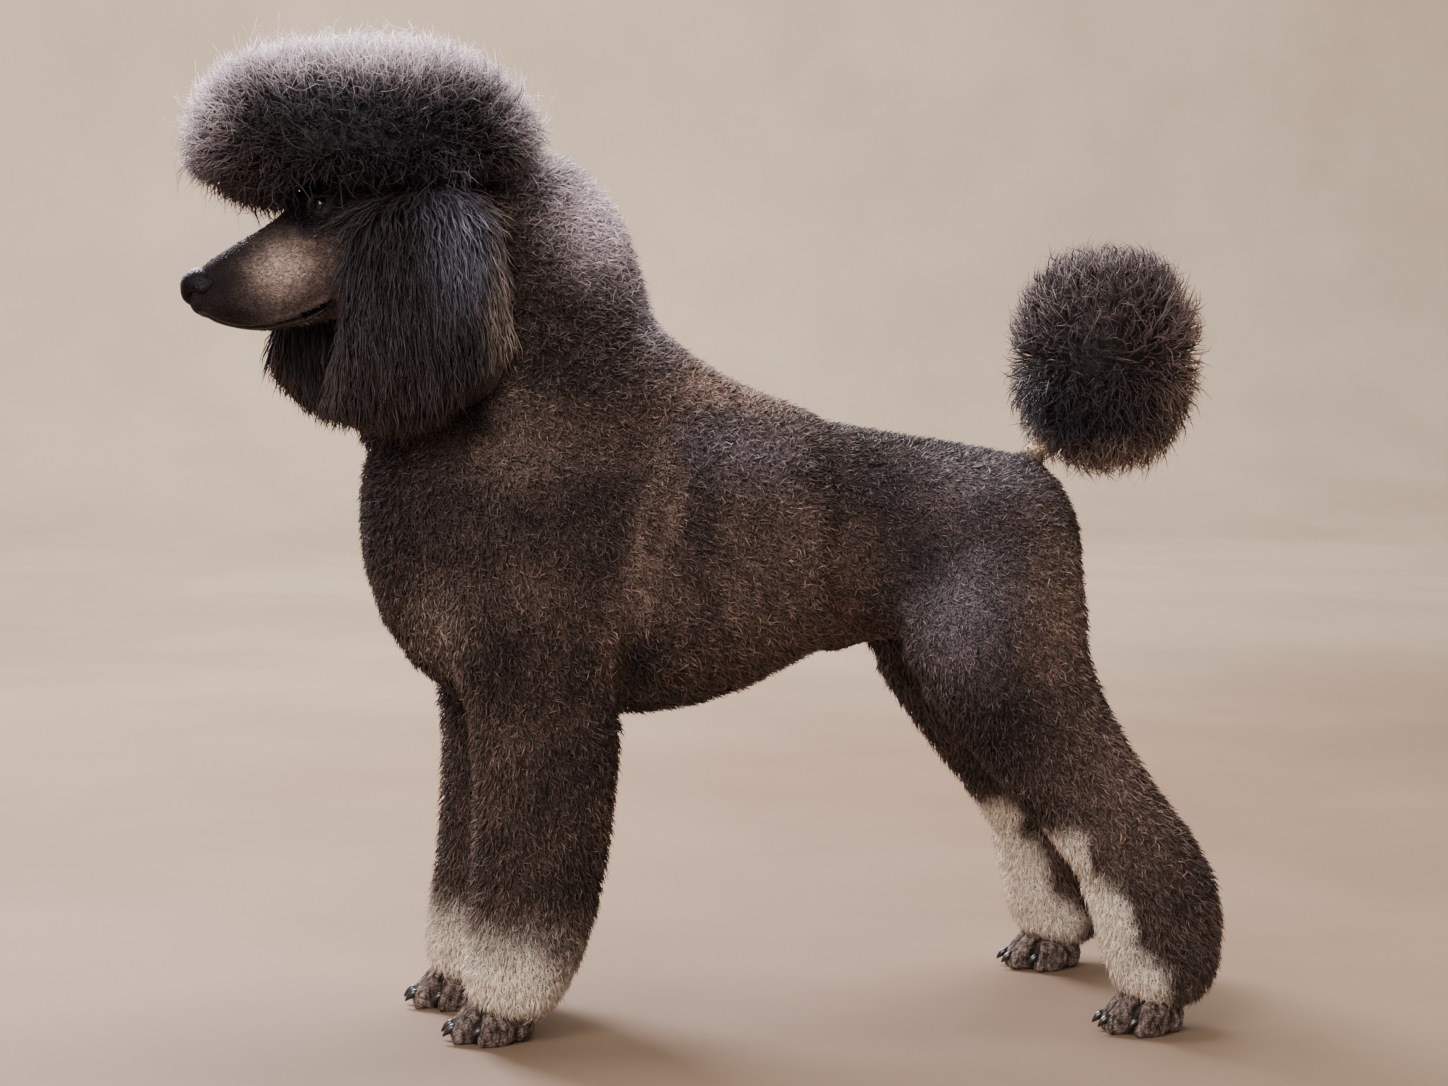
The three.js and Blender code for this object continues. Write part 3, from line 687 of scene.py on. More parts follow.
def grow(
    tip: Array,
    normal: Array,
    lie: Array,
    depth: Array,
    strand: Strand,
    unwrap: Unwrap | BallUnwrap,
    rng: np.random.Generator,
    length: Array | float = 1.0,
) -> Tufts:
    """Closed, tapered tufts that grow out to a form.

    Args:
        tip: Points on the outer form of the coat, in metres.
        normal: Outward directions there.
        lie: Directions in which the coat lies.
        depth: How deep under each point its tuft is rooted, in metres.
        strand: Shape of the tufts.
        unwrap: The flat map that the tufts' patches are placed on.
        rng: Source of the draws.
        length: Factor on each tuft's length.

    Returns:
        The tufts.
    """
    n = len(tip)
    root = tip - normal * depth[:, None]
    along = unit(lie - normal * (lie * normal).sum(1, keepdims=True))
    stray = rng.normal(size=(n, 3)) * strand.stray
    out = unit(normal + stray * ROOT_STRAY)
    start = unit(out * (1 - strand.root_lean) + along * strand.root_lean)
    end = unit(out * (1 - strand.tip_lean) + along * strand.tip_lean + stray * TIP_STRAY)
    rise = np.clip(((start + end) * normal).sum(1) / 2, LEAST_RISE, 1.0)
    reach = strand.length * MM if strand.length else depth / rise
    fly = rng.random(n) < strand.fly
    reach = reach * (REACH + rng.uniform(-1, 1, n) * strand.vary)
    reach = reach * np.where(fly, strand.fly_reach, 1.0) * length
    # Each tuft leans a little towards the middle one of its clump
    centres = one_per_cell(root, strand.clump * MM)
    mine = nearest(root, root[centres])
    goal = root[centres][mine] + (start[centres] + end[centres])[mine] / 2 * reach[:, None]
    drift = goal - (root + (start + end) / 2 * reach[:, None])
    drift *= strand.pull * np.where(fly, FLY_PULL, 1.0)[:, None]
    middle = unit(start + end)
    # Two directions across the tuft, whichever way it points
    first = unit(np.cross(middle, normal + along * 0.3 + 0.01))
    second = np.cross(middle, first)
    # Neighbours mostly wave alike
    phase = rng.uniform(0, TURN, n)
    alike = rng.random(n) < strand.together
    phase = np.where(alike, phase[centres][mine] + rng.normal(0, PHASE_SPREAD, n), phase)
    vary = rng.uniform(-TURNS_SPREAD, TURNS_SPREAD, n) * np.where(alike, ALIKE, 1.0)
    turns = strand.turns * (1 + vary)
    curl = strand.curl * MM * (1 + rng.uniform(*CURL_SPREAD, n))
    width = strand.width * MM * (1 + rng.uniform(-WIDTH_SPREAD, WIDTH_SPREAD, n))
    width = width * np.where(fly, strand.fly_width, 1.0)
    twist = rng.uniform(0, TURN, n)

    def middle_line(t: float) -> Array:
        """Where each tuft's middle is at a share of its length.

        Args:
            t: The share.

        Returns:
            The places.
        """
        line = root + reach[:, None] * (start * (t - t * t / 2) + end * (t * t / 2))
        line = line + drift * t**1.5
        wave = TURN * turns * t + phase
        sway = np.sin(wave)[:, None] * first + np.cos(wave)[:, None] * second * SIDEWAYS
        return line + (curl * t)[:, None] * sway

    stations = (np.arange(strand.rings + 2) / (strand.rings + 1)) ** strand.taper
    girth = np.interp(stations, *GIRTH)
    size = strand.rings * TUFT_SIDES + 2
    co, patch, level = np.empty((n, size, 3)), np.empty((n, size, 2)), np.empty(size)
    for i, t in enumerate(stations):
        line = middle_line(t)
        if i in (0, strand.rings + 1):
            j = 0 if i == 0 else size - 1
            co[:, j], level[j], patch[:, j] = line, t, (0.0, t - 0.5)
            continue
        for k in range(TUFT_SIDES):
            angle = twist + k * TURN / TUFT_SIDES
            ring = np.cos(angle)[:, None] * first + np.sin(angle)[:, None] * second
            j = 1 + (i - 1) * TUFT_SIDES + k
            co[:, j] = line + (width * girth[i] / 2)[:, None] * ring
            level[j], patch[:, j] = t, ((k - 1) * 0.5, t - 0.5)
    base = np.arange(n)[:, None] * size
    tris = (base[:, :, None] + _tuft_faces(strand.rings)[None]).reshape(-1, 3)
    uv = unwrap.lay(drawn(tip))[:, None, :] + patch * TUFT_PATCH
    low, high = strand.shade
    return Tufts(
        co.reshape(-1, 3), tris, uv.reshape(-1, 2), np.tile(level, n),
        np.repeat(low + (high - low) * rng.random(n), size),
    )


def _tuft_faces(rings: int) -> Array:
    """Corners of one spindle's triangles, facing outwards.

    Args:
        rings: How many rings it has between its ends.

    Returns:
        Three corners in each row.
    """
    s = TUFT_SIDES
    last = rings * s + 1
    faces = []
    for k in range(s):
        faces.append((0, 1 + (k + 1) % s, 1 + k))
        faces.append((last - s + k, last - s + (k + 1) % s, last))
    for i in range(rings - 1):
        for k in range(s):
            a, b = 1 + i * s + k, 1 + i * s + (k + 1) % s
            faces += [(a, b, b + s), (a, b + s, a + s)]
    return np.array(faces)


def rgb(red: int, green: int, blue: int) -> Colour:
    """A screen colour, 0 to 255, as a linear one."""
    linear = [
        c / 12.92 if c <= 0.04045 else ((c + 0.055) / 1.055) ** 2.4
        for c in (red / 255, green / 255, blue / 255)
    ]
    return (*linear, 1.0)


class Tone(Enum):
    """Colours of the coat, roots to tips taken together, and of the bare skin; some also serve
    for painted highlights, rim light and shade.
    """

    BROWN = rgb(121, 98, 90)
    DARK = rgb(40, 30, 34)
    BLUE_BLACK = rgb(13, 11, 33)
    SILVER_AND_RIM_LIGHT = rgb(240, 222, 230)
    LILAC_AND_RIM_LIGHT = rgb(180, 164, 174)
    GREY_SHEEN = rgb(146, 134, 146)
    TAN = rgb(172, 142, 128)
    CREAM = rgb(255, 241, 226)
    TAUPE = rgb(150, 130, 120)
    EAR_BROWN = rgb(62, 44, 42)
    POM_BROWN = rgb(88, 70, 70)
    EAR_BLUE_AND_HIGHLIGHT = rgb(132, 128, 150)
    MUZZLE = rgb(31, 23, 24)
    CHEEK = rgb(186, 162, 153)
    GLINT = rgb(206, 186, 186)
    EYE_RIM = rgb(14, 11, 13)
    LID = rgb(42, 36, 39)
    LIP = rgb(22, 17, 18)
    FOOT_DARK = rgb(46, 38, 36)
    FOOT_PALE = rgb(120, 104, 97)
    TAIL_SKIN = rgb(196, 168, 146)


@dataclass(frozen=True)
class Patch:
    """One soft patch of colour on both sides of the dog.

    Its centre and radii are in millimetres of the drawing, and it fades over the soft
    share of its radii on each side of its edge.
    """

    centre: Triple
    radii: Triple
    tone: Tone
    strength: float = 1.0
    soft: float = 0.45


MARKINGS_AND_LIGHT = tuple(Patch(*row) for row in (
    # Warmer brown on the ribs; painted highlights along their rear edge and behind the shoulder,
    # painted sheen on the back behind the withers, and painted shade behind the shoulder and the
    # elbow
    ((20, 0, 400), (110, 400, 100), Tone.TAN, 0.22),
    ((80, 130, 440), (34, 60, 95), Tone.TAN, 0.22, 0.9),
    ((5, 120, 550), (62, 60, 34), Tone.GREY_SHEEN, 0.45, 0.7),
    ((-74, 140, 505), (15, 50, 50), Tone.TAN, 0.5, 0.8),
    ((-94, 140, 440), (14, 50, 50), Tone.TAN, 0.6, 0.8),
    ((-118, 130, 376), (14, 50, 44), Tone.TAN, 0.5, 0.8),
    ((-98, 125, 345), (15, 50, 34), Tone.DARK, 0.85, 0.6),
    ((-40, 130, 470), (16, 50, 80), Tone.DARK, 0.35, 0.8),
    # Tan along the withers' rear
    ((15, 0, 604), (85, 200, 26), Tone.TAN, 0.6),
    # Point of the shoulder, upper arm and thigh, with painted grey sheen on the croup and hip and
    # a painted grey highlight on the thigh
    ((-277, 95, 382), (28, 50, 38), Tone.TAUPE, 0.95, 0.8),
    ((-215, 110, 345), (40, 60, 40), Tone.DARK, 0.5, 0.7),
    ((-200, 120, 556), (50, 60, 40), Tone.TAN, 0.3, 0.8),
    ((-190, 120, 480), (75, 60, 40), Tone.DARK, 0.4, 0.9),
    ((255, 60, 528), (62, 80, 32), Tone.GREY_SHEEN, 0.4, 0.8),
    ((197, 125, 405), (44, 60, 64), Tone.GREY_SHEEN, 0.7, 1.0),
    ((205, 110, 510), (80, 80, 30), Tone.GREY_SHEEN, 0.3, 0.7),
    ((170, 110, 450), (30, 60, 40), Tone.DARK, 0.45, 0.7),
    ((220, 125, 300), (40, 60, 50), Tone.DARK, 0.5, 0.7),
    # The rear edges of thigh and shank
    ((300, 110, 390), (42, 70, 90), Tone.TAN, 0.5, 0.7),
    ((345, 130, 215), (46, 70, 80), Tone.TAN, 0.45, 0.7),
    # Dark coat on the croup, and painted shade under the brisket, behind the elbow and between
    # the legs
    ((190, 0, 556), (120, 60, 26), Tone.DARK, 0.7),
    ((240, 100, 470), (36, 60, 36), Tone.BLUE_BLACK, 0.4, 0.7),
    ((-90, 0, 288), (140, 120, 30), Tone.DARK, 0.65),
    ((-215, 0, 330), (90, 62, 70), Tone.DARK, 0.7),
    ((-308, 0, 500), (48, 100, 90), Tone.DARK, 0.85, 0.6),
    ((118, 90, 515), (56, 60, 44), Tone.DARK, 0.55, 0.6),
    ((330, 50, 330), (90, 34, 110), Tone.DARK, 0.5),
    # Mane: dark behind the ear; silver along the nape, partly silver hair and partly painted rim
    # light
    ((-170, 0, 680), (110, 130, 100), Tone.DARK, 0.62, 0.6),
    ((-150, 60, 610), (60, 80, 24), Tone.DARK, 0.6, 0.6),
    ((-118, 0, 770), (52, 130, 75), Tone.SILVER_AND_RIM_LIGHT, 0.9, 0.75),
    ((-72, 0, 690), (30, 90, 70), Tone.LILAC_AND_RIM_LIGHT, 0.75, 0.7),
    # Topknot: blue-black with a silver rim, partly silver tips and partly painted rim light,
    # browner low in front
    ((-330, 0, 826), (190, 140, 90), Tone.BLUE_BLACK, 1.0, 0.3),
    ((-352, 0, 905), (170, 200, 44), Tone.LILAC_AND_RIM_LIGHT, 0.6, 0.8),
    ((-450, 0, 800), (80, 130, 46), Tone.EAR_BROWN, 0.75, 0.6),
    ((-200, 0, 800), (60, 130, 40), Tone.EAR_BROWN, 0.6, 0.6),
    ((-330, 0, 946), (240, 170, 66), Tone.SILVER_AND_RIM_LIGHT, 1.0, 0.5),
    ((-505, 0, 872), (52, 130, 66), Tone.SILVER_AND_RIM_LIGHT, 0.95, 0.8),
    ((-152, 0, 868), (60, 130, 74), Tone.SILVER_AND_RIM_LIGHT, 0.9, 0.7),
    # Head: dark muzzle, brows and temples, with a pale soft cheek
    ((-430, 0, 690), (80, 60, 60), Tone.MUZZLE, 1.0, 0.2),
    ((-396, 40, 700), (40, 44, 40), Tone.TAUPE, 0.4, 0.8),
    ((-362, 40, 696), (22, 44, 56), Tone.DARK, 0.6, 0.9),
    ((-408, 32, 706), (18, 30, 18), Tone.CHEEK, 0.9, 1.0),
    ((-376, 40, 770), (48, 40, 30), Tone.BLUE_BLACK, 1.0, 0.4),
    ((-330, 50, 776), (70, 60, 44), Tone.DARK, 0.9, 0.4),
    # Ears: dark, grey-blue at the upper rear, partly grey-blue hair and partly a painted
    # highlight, brown along the rear edge
    ((-300, 115, 655), (125, 60, 122), Tone.DARK, 1.0, 0.15),
    ((-250, 140, 740), (28, 50, 52), Tone.EAR_BLUE_AND_HIGHLIGHT, 0.75, 0.9),
    ((-212, 125, 650), (18, 50, 80), Tone.TAUPE, 0.75, 0.9),
    ((-330, 120, 585), (80, 60, 36), Tone.EAR_BROWN, 0.7, 0.6),
    # Tail pom: near black in front, warm brown below
    ((368, 0, 622), (125, 110, 140), Tone.POM_BROWN, 0.95, 0.1),
    ((325, 0, 572), (64, 110, 74), Tone.BLUE_BLACK, 0.85, 0.7),
    ((452, 0, 600), (44, 110, 100), Tone.TAN, 0.6, 0.7),
    ((400, 0, 516), (90, 100, 30), Tone.TAN, 0.75, 0.6),
    # Cuffs, the hind legs' pale fronts and the tail's root
    ((306, 0, 545), (26, 22, 20), Tone.TAUPE, 0.85, 0.4),
    ((-205, 70, 6), (140, 90, 104), Tone.CREAM, 1.0, 0.3),
    ((-160, 70, 92), (26, 90, 36), Tone.BROWN, 0.7, 0.8),
    ((294, 128, 150), (22, 70, 44), Tone.CREAM, 0.95, 0.4),
    ((320, 134, 98), (29, 100, 50), Tone.CREAM, 1.0, 0.35),
    ((348, 134, 42), (38, 100, 44), Tone.CREAM, 1.0, 0.35),
))


class Group:
    """A shader node group under construction."""

    def __init__(self, name: str) -> None:
        """An empty group.

        Args:
            name: Its name.
        """
        self.tree = bpy.data.node_groups.new(name, "ShaderNodeTree")
        self.inputs = self.tree.nodes.new("NodeGroupInput").outputs
        self.outputs = self.tree.nodes.new("NodeGroupOutput").inputs
        self.wires = Wires(self.tree)

    def takes(self, name: str, kind: str, default: float | None = None) -> None:
        """Adds an input socket."""
        socket = self.tree.interface.new_socket(name, in_out="INPUT", socket_type=kind)
        if default is not None:
            socket.default_value = default

    def gives(self, name: str, kind: str) -> None:
        """Adds an output socket."""
        self.tree.interface.new_socket(name, in_out="OUTPUT", socket_type=kind)

    def finish(self, **values: Socket) -> Tree:
        """Feeds the output sockets by name and hands the group over."""
        for key, value in values.items():
            self.tree.links.new(value, self.outputs[key])
        return self.tree


class Wires:
    """Adds and links nodes in one tree."""

    def __init__(self, tree: Tree) -> None:
        """The nodes go into this tree."""
        self.tree = tree

    def node(self, kind: str, *values: Value, **settings: object) -> bpy.types.Node:
        """A node with its settings, whose first inputs are fed with values.

        Args:
            kind: Its type.
            values: Constants or sockets.
            settings: Its properties.

        Returns:
            The node.
        """
        made = self.tree.nodes.new(kind)
        for key, value in settings.items():
            setattr(made, key, value)
        for value, socket in zip(values, made.inputs):
            self.link(value, socket)
        return made

    def link(self, value: Value, socket: Socket) -> None:
        """Feeds a socket from another one or sets it to a constant.

        Args:
            value: The socket or constant.
            socket: What is fed.
        """
        if isinstance(value, Socket):
            self.tree.links.new(value, socket)
        else:
            socket.default_value = value

    def maths(self, operation: str, a: Value, b: Value = 0.0) -> Socket:
        """One Math node."""
        return self.node("ShaderNodeMath", a, b, operation=operation).outputs[0]

    def vector(self, operation: str, a: Value, b: Value = (0, 0, 0)) -> Socket:
        """One Vector Math node."""
        made = self.node("ShaderNodeVectorMath", a, b, operation=operation)
        return made.outputs["Value" if operation == "LENGTH" else "Vector"]

    def scaled(self, vector: Value, factor: Value) -> Socket:
        """A vector or colour times a factor."""
        made = self.node("ShaderNodeVectorMath", vector, operation="SCALE")
        self.link(factor, made.inputs["Scale"])
        return made.outputs[0]

    def mix(self, factor: Value, a: Value, b: Value, blend: str = "MIX") -> Socket:
        """One Mix node on colours.

        Args:
            factor: Share of b.
            a: One colour.
            b: The other colour.
            blend: Its blend type.

        Returns:
            The mixed colour.
        """
        made = self.node("ShaderNodeMix", factor, data_type="RGBA", blend_type=blend)
        self.link(a, made.inputs[6])
        self.link(b, made.inputs[7])
        return made.outputs[2]

    def ramp(self, value: Value, low: float, high: float, start: float, end: float) -> Socket:
        """A smooth Map Range from low..high to start..end."""
        made = self.node("ShaderNodeMapRange", value, low, high, start, end,
                         interpolation_type="SMOOTHSTEP")
        return made.outputs["Result"]

    def noise(
        self, place: Value, scale: float, detail: float = 2.0, rough: float = 0.5
    ) -> Outputs:
        """The outputs of a Noise Texture: its height, Fac, and its Color.

        Args:
            place: Where it is read.
            scale: How fine it is.
            detail: How many finer layers it has.
            rough: How strong they are.

        Returns:
            The outputs by name.
        """
        made = self.node("ShaderNodeTexNoise")
        for key, value in (("Vector", place), ("Scale", scale), ("Detail", detail),
                           ("Roughness", rough)):
            self.link(value, made.inputs[key])
        return made.outputs

    def attribute(self, name: str) -> Socket:
        """A number that the mesh keeps for each vertex."""
        return self.node("ShaderNodeAttribute", attribute_name=name).outputs["Fac"]

    def lightness(self, colour: Value) -> Socket:
        """How light a colour is."""
        return self.node("ShaderNodeRGBToBW", colour).outputs[0]

    def split(self, place: Value) -> Outputs:
        """The coordinates of a place, by number."""
        return self.node("ShaderNodeSeparateXYZ", place).outputs

    def folded(self, place: Value) -> Socket:
        """A place with the left half laid on the right."""
        own, flat = self.split(place), self.split(self.vector("ABSOLUTE", place))
        return self.node("ShaderNodeCombineXYZ", own[0], flat[1], own[2]).outputs[0]

    def spot(
        self, place: Value, centre: Triple, radii: Triple, soft: float, strength: float = 1.0
    ) -> Socket:
        """A soft mask round a point of the drawing.

        Args:
            place: The folded place.
            centre: The point, in millimetres.
            radii: How far the mask reaches along each axis.
            soft: Share of the radii over which it fades, on each side of its edge.
            strength: Its value at the centre.

        Returns:
            The mask.
        """
        away = self.vector("SUBTRACT", place, tuple(placed(centre)))
        shares = tuple(1 / (r * MM) for r in radii)
        far = self.vector("LENGTH", self.vector("MULTIPLY", away, shares))
        return self.ramp(far, 1 - soft, 1 + soft, strength, 0.0)


def markings_and_light_group() -> Tree:
    """The dog's markings by place, with painted highlights, rim light and shade, shared by its
    skin and its coat.

    Returns:
        The node group.
    """
    group = Group("poodle_markings_and_light")
    group.takes("Place", "NodeSocketVector")
    group.takes("Wander", "NodeSocketFloat", 0.02)
    group.gives("Colour", "NodeSocketColor")
    wires, place = group.wires, group.inputs["Place"]
    # The edges of the patches wander by two sizes of cloud
    clouds = wires.vector("ADD", wires.noise(place, 14.0, 3.0, 0.6)["Color"],
                          wires.noise(place, 48.0, 2.0, 0.6)["Color"])
    drift = wires.scaled(wires.vector("SUBTRACT", clouds, (1, 1, 1)), group.inputs["Wander"])
    moved = wires.folded(wires.vector("ADD", place, drift))
    broad = wires.ramp(wires.noise(place, 9.0, 4.0, 0.65)["Fac"], 0.3, 0.7, 0.3, 0.95)
    colour = wires.mix(broad, Tone.DARK.value, Tone.BROWN.value)
    for patch in MARKINGS_AND_LIGHT:
        mask = wires.spot(moved, patch.centre, patch.radii, patch.soft, patch.strength)
        colour = wires.mix(mask, colour, patch.tone.value)
    # Small darker flecks, fewer where the coat is pale
    flecks = wires.ramp(wires.noise(place, 55.0, 3.0, 0.6)["Fac"], 0.34, 0.66, 0.0, 0.6)
    sparse = wires.ramp(wires.lightness(colour), 0.25, 0.6, 1.0, 0.3)
    flecks = wires.maths("MULTIPLY", flecks, sparse)
    return group.finish(Colour=wires.mix(flecks, colour, wires.scaled(colour, 0.55)))


def strand_group() -> Tree:
    """Painted shade towards the roots, painted highlights on the tips of lighter tufts, and
    tuft-to-tuft change of colour.

    Returns:
        The node group.
    """
    group = Group("poodle_strand")
    group.takes("Colour", "NodeSocketColor")
    for name, default in (
        ("Root Shade", 0.35), ("Tip Light", 0.25), ("Variety", 0.35), ("Pale Lift", 0.95)
    ):
        group.takes(name, "NodeSocketFloat", default)
    group.gives("Colour", "NodeSocketColor")
    wires, given = group.wires, group.inputs

    def times(a: Value, b: Value) -> Socket:
        """The product of two numbers."""
        return wires.maths("MULTIPLY", a, b)

    def lifted(value: Value, share: Value) -> Socket:
        """A number brought nearer to 1 by a share of what it lacks."""
        return wires.maths("ADD", value, times(share, wires.maths("SUBTRACT", 1.0, value)))

    along, shade = wires.attribute("strand_along"), wires.attribute("strand_shade")
    # Pale hair lets light through to its roots
    pale = wires.ramp(wires.lightness(given["Colour"]), 0.1, 0.5, 0.0, 1.0)
    lift = times(pale, given["Pale Lift"])
    rise = wires.ramp(along, 0.0, 0.8, 0.0, 1.0)
    lit = lifted(lifted(given["Root Shade"], lift), rise)
    spread = times(given["Variety"], wires.maths("SUBTRACT", 1.0, lift))
    spread = times(wires.maths("SUBTRACT", shade, 0.5), spread)
    value = times(lit, wires.maths("ADD", 1.0, times(spread, 2.0)))
    # The tips of the lighter tufts catch the light
    glint = times(wires.ramp(along, 0.35, 1.0, 0.0, 1.0), wires.ramp(shade, 0.6, 0.92, 0.05, 1.0))
    double = wires.mix(1.0, given["Colour"], given["Colour"], "ADD")
    bright = wires.mix(0.09, double, Tone.GLINT.value, "ADD")
    light = times(glint, given["Tip Light"])
    return group.finish(Colour=wires.mix(light, wires.scaled(given["Colour"], value), bright))


def face_group() -> Tree:
    """Colour, roughness and height of the shaved face, feet and tail.

    Returns:
        The node group.
    """
    group = Group("poodle_bare_skin")
    group.takes("Place", "NodeSocketVector")
    group.takes("Markings And Light", "NodeSocketColor")
    for name in ("Bare", "Roughness", "Height"):
        group.gives(name, "NodeSocketFloat")
    group.gives("Colour", "NodeSocketColor")
    wires, place = group.wires, group.inputs["Place"]
    folded_place = wires.folded(place)
    head = wires.spot(folded_place, (-390, 0, 715), (150, 110, 120), 0.1)
    tail = wires.spot(folded_place, (320, 0, 556), (44, 24, 44), 0.15)
    feet = wires.ramp(wires.split(place)[2], 0.034, 0.05, 1.0, 0.0)
    bare = wires.maths("MAXIMUM", wires.maths("MAXIMUM", head, tail), feet)
    # Short hair lies back along the muzzle in little waves
    bent = wires.scaled(wires.noise(place, 110.0, 1.0)["Color"], 0.011)
    combed = wires.vector("MULTIPLY", wires.vector("ADD", place, bent), (0.26, 1.0, 1.0))
    fine = wires.noise(combed, 820.0)["Fac"]
    mottle = wires.noise(place, 75.0, 5.0, 0.7)["Fac"]
    # The feet are streaked along their sinews
    stretched = wires.vector("MULTIPLY", place, (1.0, 1.0, 0.45))
    sinew = wires.ramp(wires.noise(stretched, 190.0, 4.0, 0.65)["Fac"], 0.34, 0.66, 0.0, 1.0)
    rim = wires.spot(folded_place, (-371, 40, 764), (27, 30, 23), 0.4)
    lids = wires.spot(folded_place, (-374, 46, 764.5), (14, 14, 11.5), 0.25)
    lip = wires.attribute("skin_lip")
    colour = group.inputs["Markings And Light"]
    for mask, tone in (
        (rim, Tone.EYE_RIM.value), (lids, Tone.LID.value), (lip, Tone.LIP.value),
        (feet, wires.mix(sinew, Tone.FOOT_DARK.value, Tone.FOOT_PALE.value)),
        (tail, Tone.TAIL_SKIN.value),
    ):
        colour = wires.mix(mask, colour, tone)
    # Streaks of hair, and painted shade in the hollows with painted highlights on the bumps
    colour = wires.scaled(colour, wires.ramp(fine, 0.4, 0.62, 0.4, 1.25))
    hollow = wires.attribute("skin_relief")
    colour = wires.scaled(colour, wires.ramp(hollow, 0.0, 1.0, 0.35, 1.6))
    moist = wires.ramp(wires.maths("MAXIMUM", lip, lids), 0.0, 1.0, 1.0, 0.45)
    rough = wires.maths("MULTIPLY", wires.ramp(fine, 0.3, 0.7, 0.75, 0.95), moist)
    height = wires.maths("ADD", fine, wires.maths("MULTIPLY", mottle, 1.5))
    return group.finish(Bare=bare, Colour=colour, Roughness=rough, Height=height)


@dataclass(frozen=True)
class Effects:
    """The node groups that the materials share."""

    markings_and_light: Tree
    strand: Tree
    face: Tree


class Draft:
    """A material under construction: its nodes, its shader and places on the object."""

    def __init__(self, name: str) -> None:
        """A plain material.

        Args:
            name: Its name.
        """
        self.material = bpy.data.materials.new(name)
        self.material.use_nodes = True
        tree = self.material.node_tree
        self.wires = Wires(tree)
        self.shader = tree.nodes["Principled BSDF"]
        self.place = self.wires.node("ShaderNodeTexCoord").outputs["Object"]

    def effect(
        self, group: Tree, values: dict[str, Value]
    ) -> Outputs:
        """The outputs of a node group that is fed with values by name.

        Args:
            group: The group.
            values: Its inputs.

        Returns:
            The outputs.
        """
        made = self.wires.node("ShaderNodeGroup", node_tree=group)
        for key, value in values.items():
            self.wires.link(value, made.inputs[key])
        return made.outputs

    def bump(self, height: Value, strength: float, distance: float) -> Socket:
        """The normal of a surface with this height; a distance below 0 presses in.

        Args:
            height: The height.
            strength: Strength of the bump.
            distance: Depth of the relief in metres.

        Returns:
            The normal.
        """
        made = self.wires.node("ShaderNodeBump", invert=distance < 0)
        for key, value in (("Strength", strength), ("Distance", abs(distance)),
                           ("Height", height)):
            self.wires.link(value, made.inputs[key])
        return made.outputs["Normal"]

    def finish(self, values: dict[str, Value]) -> Material:
        """Feeds the shader's sockets by name and hands the material over."""
        for key, value in values.items():
            self.wires.link(value, self.shader.inputs[key])
        return self.material


@dataclass(frozen=True)
class CoatFinish:
    """Finish of a hair piece."""

    name: str
    root_shade: float = 0.26
    tip_light: float = 1.0
    variety: float = 0.95
    pale_lift: float = 0.95
    roughness: float = 0.5
    shine: float = 0.3
    sheen: float = 0.06
    sheen_roughness: float = 0.45

    def make(self, effects: Effects) -> Material:
        """Makes the material.

        Args:
            effects: The node groups.

        Returns:
            The material.
        """
        draft = Draft(self.name)
        marked = draft.effect(effects.markings_and_light, {"Place": draft.place})["Colour"]
        strand = draft.effect(effects.strand, {
            "Colour": marked, "Root Shade": self.root_shade, "Tip Light": self.tip_light,
            "Variety": self.variety, "Pale Lift": self.pale_lift,
        })
        return draft.finish({
            "Base Color": strand["Colour"], "Roughness": self.roughness,
            "Specular IOR Level": self.shine, "Sheen Weight": self.sheen,
            "Sheen Roughness": self.sheen_roughness,
        })


@dataclass(frozen=True)
class SkinFinish:
    """Finish of the skin under the coat, and of the shaved face and feet."""

    name: str = "skin"
    # How far painted shade darkens the skin between the tufts, under dark hair and under pale
    # hair
    dark: float = 0.55
    pale: float = 0.9
    tangle_scale: float = 560.0
    bump_strength: float = 0.6
    bump_depth: float = 0.0012
    shine: float = 0.15

    def make(self, effects: Effects) -> Material:
        """Makes the material.

        Args:
            effects: The node groups.

        Returns:
            The material.
        """
        draft = Draft(self.name)
        wires, place = draft.wires, draft.place
        marked = draft.effect(effects.markings_and_light, {"Place": place})["Colour"]
        face = draft.effect(effects.face, {"Place": place, "Markings And Light": marked})
        # Short hair lies tangled over the skin between the tufts
        tangle = wires.noise(place, self.tangle_scale, 3.0, 0.65)["Fac"]
        hairy = wires.ramp(tangle, 0.4, 0.6, 0.22, 1.3)
        # Painted shade: the skin between the tufts is darkened as if shaded by the hair, less
        # under pale hair
        depth = wires.ramp(wires.lightness(marked), 0.1, 0.5, self.dark, self.pale)
        under = wires.scaled(marked, wires.maths("MULTIPLY", depth, hairy))
        return draft.finish({
            "Base Color": wires.mix(face["Bare"], under, face["Colour"]),
            "Roughness": face["Roughness"], "Specular IOR Level": self.shine,
            "Normal": draft.bump(face["Height"], self.bump_strength, self.bump_depth),
        })


